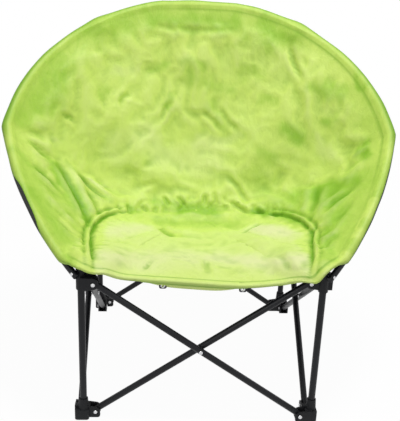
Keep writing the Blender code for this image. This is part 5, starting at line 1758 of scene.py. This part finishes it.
def make_floor(scene, stage):
    """A pale floor that is white to the camera and keeps a soft shadow."""
    bm = bmesh.new()
    bmesh.ops.create_grid(bm, x_segments=8, y_segments=8, size=FLOOR_HALF)
    mesh = mesh_of(bm, "floor")
    floor = bpy.data.objects.new("floor", mesh)
    scene.collection.objects.link(floor)
    floor.location.z = -FLOOR_DROP
    paint = new_paint("pale_floor")
    paint.set(Base_Color=tuple(stage.floor), Roughness=0.9, Specular_IOR_Level=0.0)
    glow = paint.node("ShaderNodeEmission", {}, {"Color": WHITE, "Strength": 1.0})
    out = paint.tree.nodes["Material Output"]
    away = paint.node("ShaderNodeVectorMath", {"operation": "LENGTH"}, {0: paint.place()})["Value"]
    plain = NEAR_WHITE + ((away - FLOOR_NEAR) * FLOOR_FADE).clamped() * WHITE_GAIN
    blend = paint.node("ShaderNodeMixShader", {}, {0: seen(paint) * plain.clamped()})
    paint.tree.links.new(paint.main.outputs[0], blend.node.inputs[1])
    paint.tree.links.new(glow.node.outputs[0], blend.node.inputs[2])
    paint.tree.links.new(blend.node.outputs[0], out.inputs["Surface"])
    mesh.materials.append(paint.block)


def make_camera(scene, stage):
    """The camera at the photograph's place."""
    data = bpy.data.cameras.new("camera")
    data.sensor_fit = "HORIZONTAL"
    data.sensor_width = SENSOR_WIDTH
    data.lens = stage.lens
    camera = bpy.data.objects.new("camera", data)
    scene.collection.objects.link(camera)
    ahead = Vector((math.sin(stage.yaw) * math.cos(stage.pitch), math.cos(stage.yaw) * math.cos(stage.pitch),
                    -math.sin(stage.pitch)))
    right = Vector((math.cos(stage.yaw), -math.sin(stage.yaw), 0.0))
    down = ahead.cross(right)
    across = right * math.cos(stage.roll) + down * math.sin(stage.roll)
    below = down * math.cos(stage.roll) - right * math.sin(stage.roll)
    turn = Matrix((across, -below, -ahead)).transposed().to_4x4()
    camera.matrix_world = Matrix.Translation(Vector(stage.camera_place)) @ turn
    scene.camera = camera


class CHAIR_OT_stage(bpy.types.Operator):
    """Set the floor, the soft light and the camera"""

    bl_idname = "chair.stage"
    bl_label = "Stage"

    def execute(self, context):
        scene = context.scene
        stage = scene.chair_stage
        scene.view_settings.view_transform = "Standard"
        make_world(scene, stage)
        make_floor(scene, stage)
        for name, power, place, size in (("key_lamp", stage.key, KEY_PLACE, KEY_SIZE),
                                         ("fill_lamp", stage.fill, FILL_PLACE, FILL_SIZE)):
            lamp = bpy.data.lights.new(name, "AREA")
            lamp.energy = power
            lamp.size = size
            obj = bpy.data.objects.new(name, lamp)
            scene.collection.objects.link(obj)
            obj.location = place
            aim = Vector(LAMP_AIM) - Vector(place)
            obj.rotation_euler = aim.to_track_quat("-Z", "Y").to_euler()
        make_camera(scene, stage)
        return {"FINISHED"}


class CHAIR_PT_panel(bpy.types.Panel):
    """Steps that dress the chair"""

    bl_label = "Folding chair"
    bl_idname = "CHAIR_PT_panel"
    bl_space_type = "VIEW_3D"
    bl_region_type = "UI"
    bl_category = "Chair"

    def draw(self, context):
        for step in STEPS:
            self.layout.operator(step.bl_idname)
        for group in (context.scene.chair_cover, context.scene.chair_tubes, context.scene.chair_stage):
            for key in group.bl_rna.properties.keys():
                if key not in ("rna_type", "name"):
                    self.layout.prop(group, key)


STEPS = (CHAIR_OT_stage, CHAIR_OT_tubes, CHAIR_OT_mouldings, CHAIR_OT_rivets, CHAIR_OT_cover, CHAIR_OT_tabs)
CLASSES = (CoverSettings, FrameSettings, StageSettings) + STEPS + (CHAIR_PT_panel,)


def register():
    """Make the settings, steps and panel known."""
    for item in CLASSES:
        bpy.utils.register_class(item)
    bpy.types.Scene.chair_cover = PointerProperty(type=CoverSettings)
    bpy.types.Scene.chair_tubes = PointerProperty(type=FrameSettings)
    bpy.types.Scene.chair_stage = PointerProperty(type=StageSettings)


def unregister():
    """Take the settings, steps and panel away."""
    del bpy.types.Scene.chair_stage
    del bpy.types.Scene.chair_tubes
    del bpy.types.Scene.chair_cover
    for item in reversed(CLASSES):
        bpy.utils.unregister_class(item)


def main():
    """Dress the chair step by step."""
    register()
    bpy.ops.chair.stage()
    bpy.ops.chair.tubes()
    bpy.ops.chair.mouldings()
    bpy.ops.chair.rivets()
    bpy.ops.chair.cover()
    bpy.ops.chair.tabs()
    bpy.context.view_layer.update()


if __name__ == "__main__":
    main()
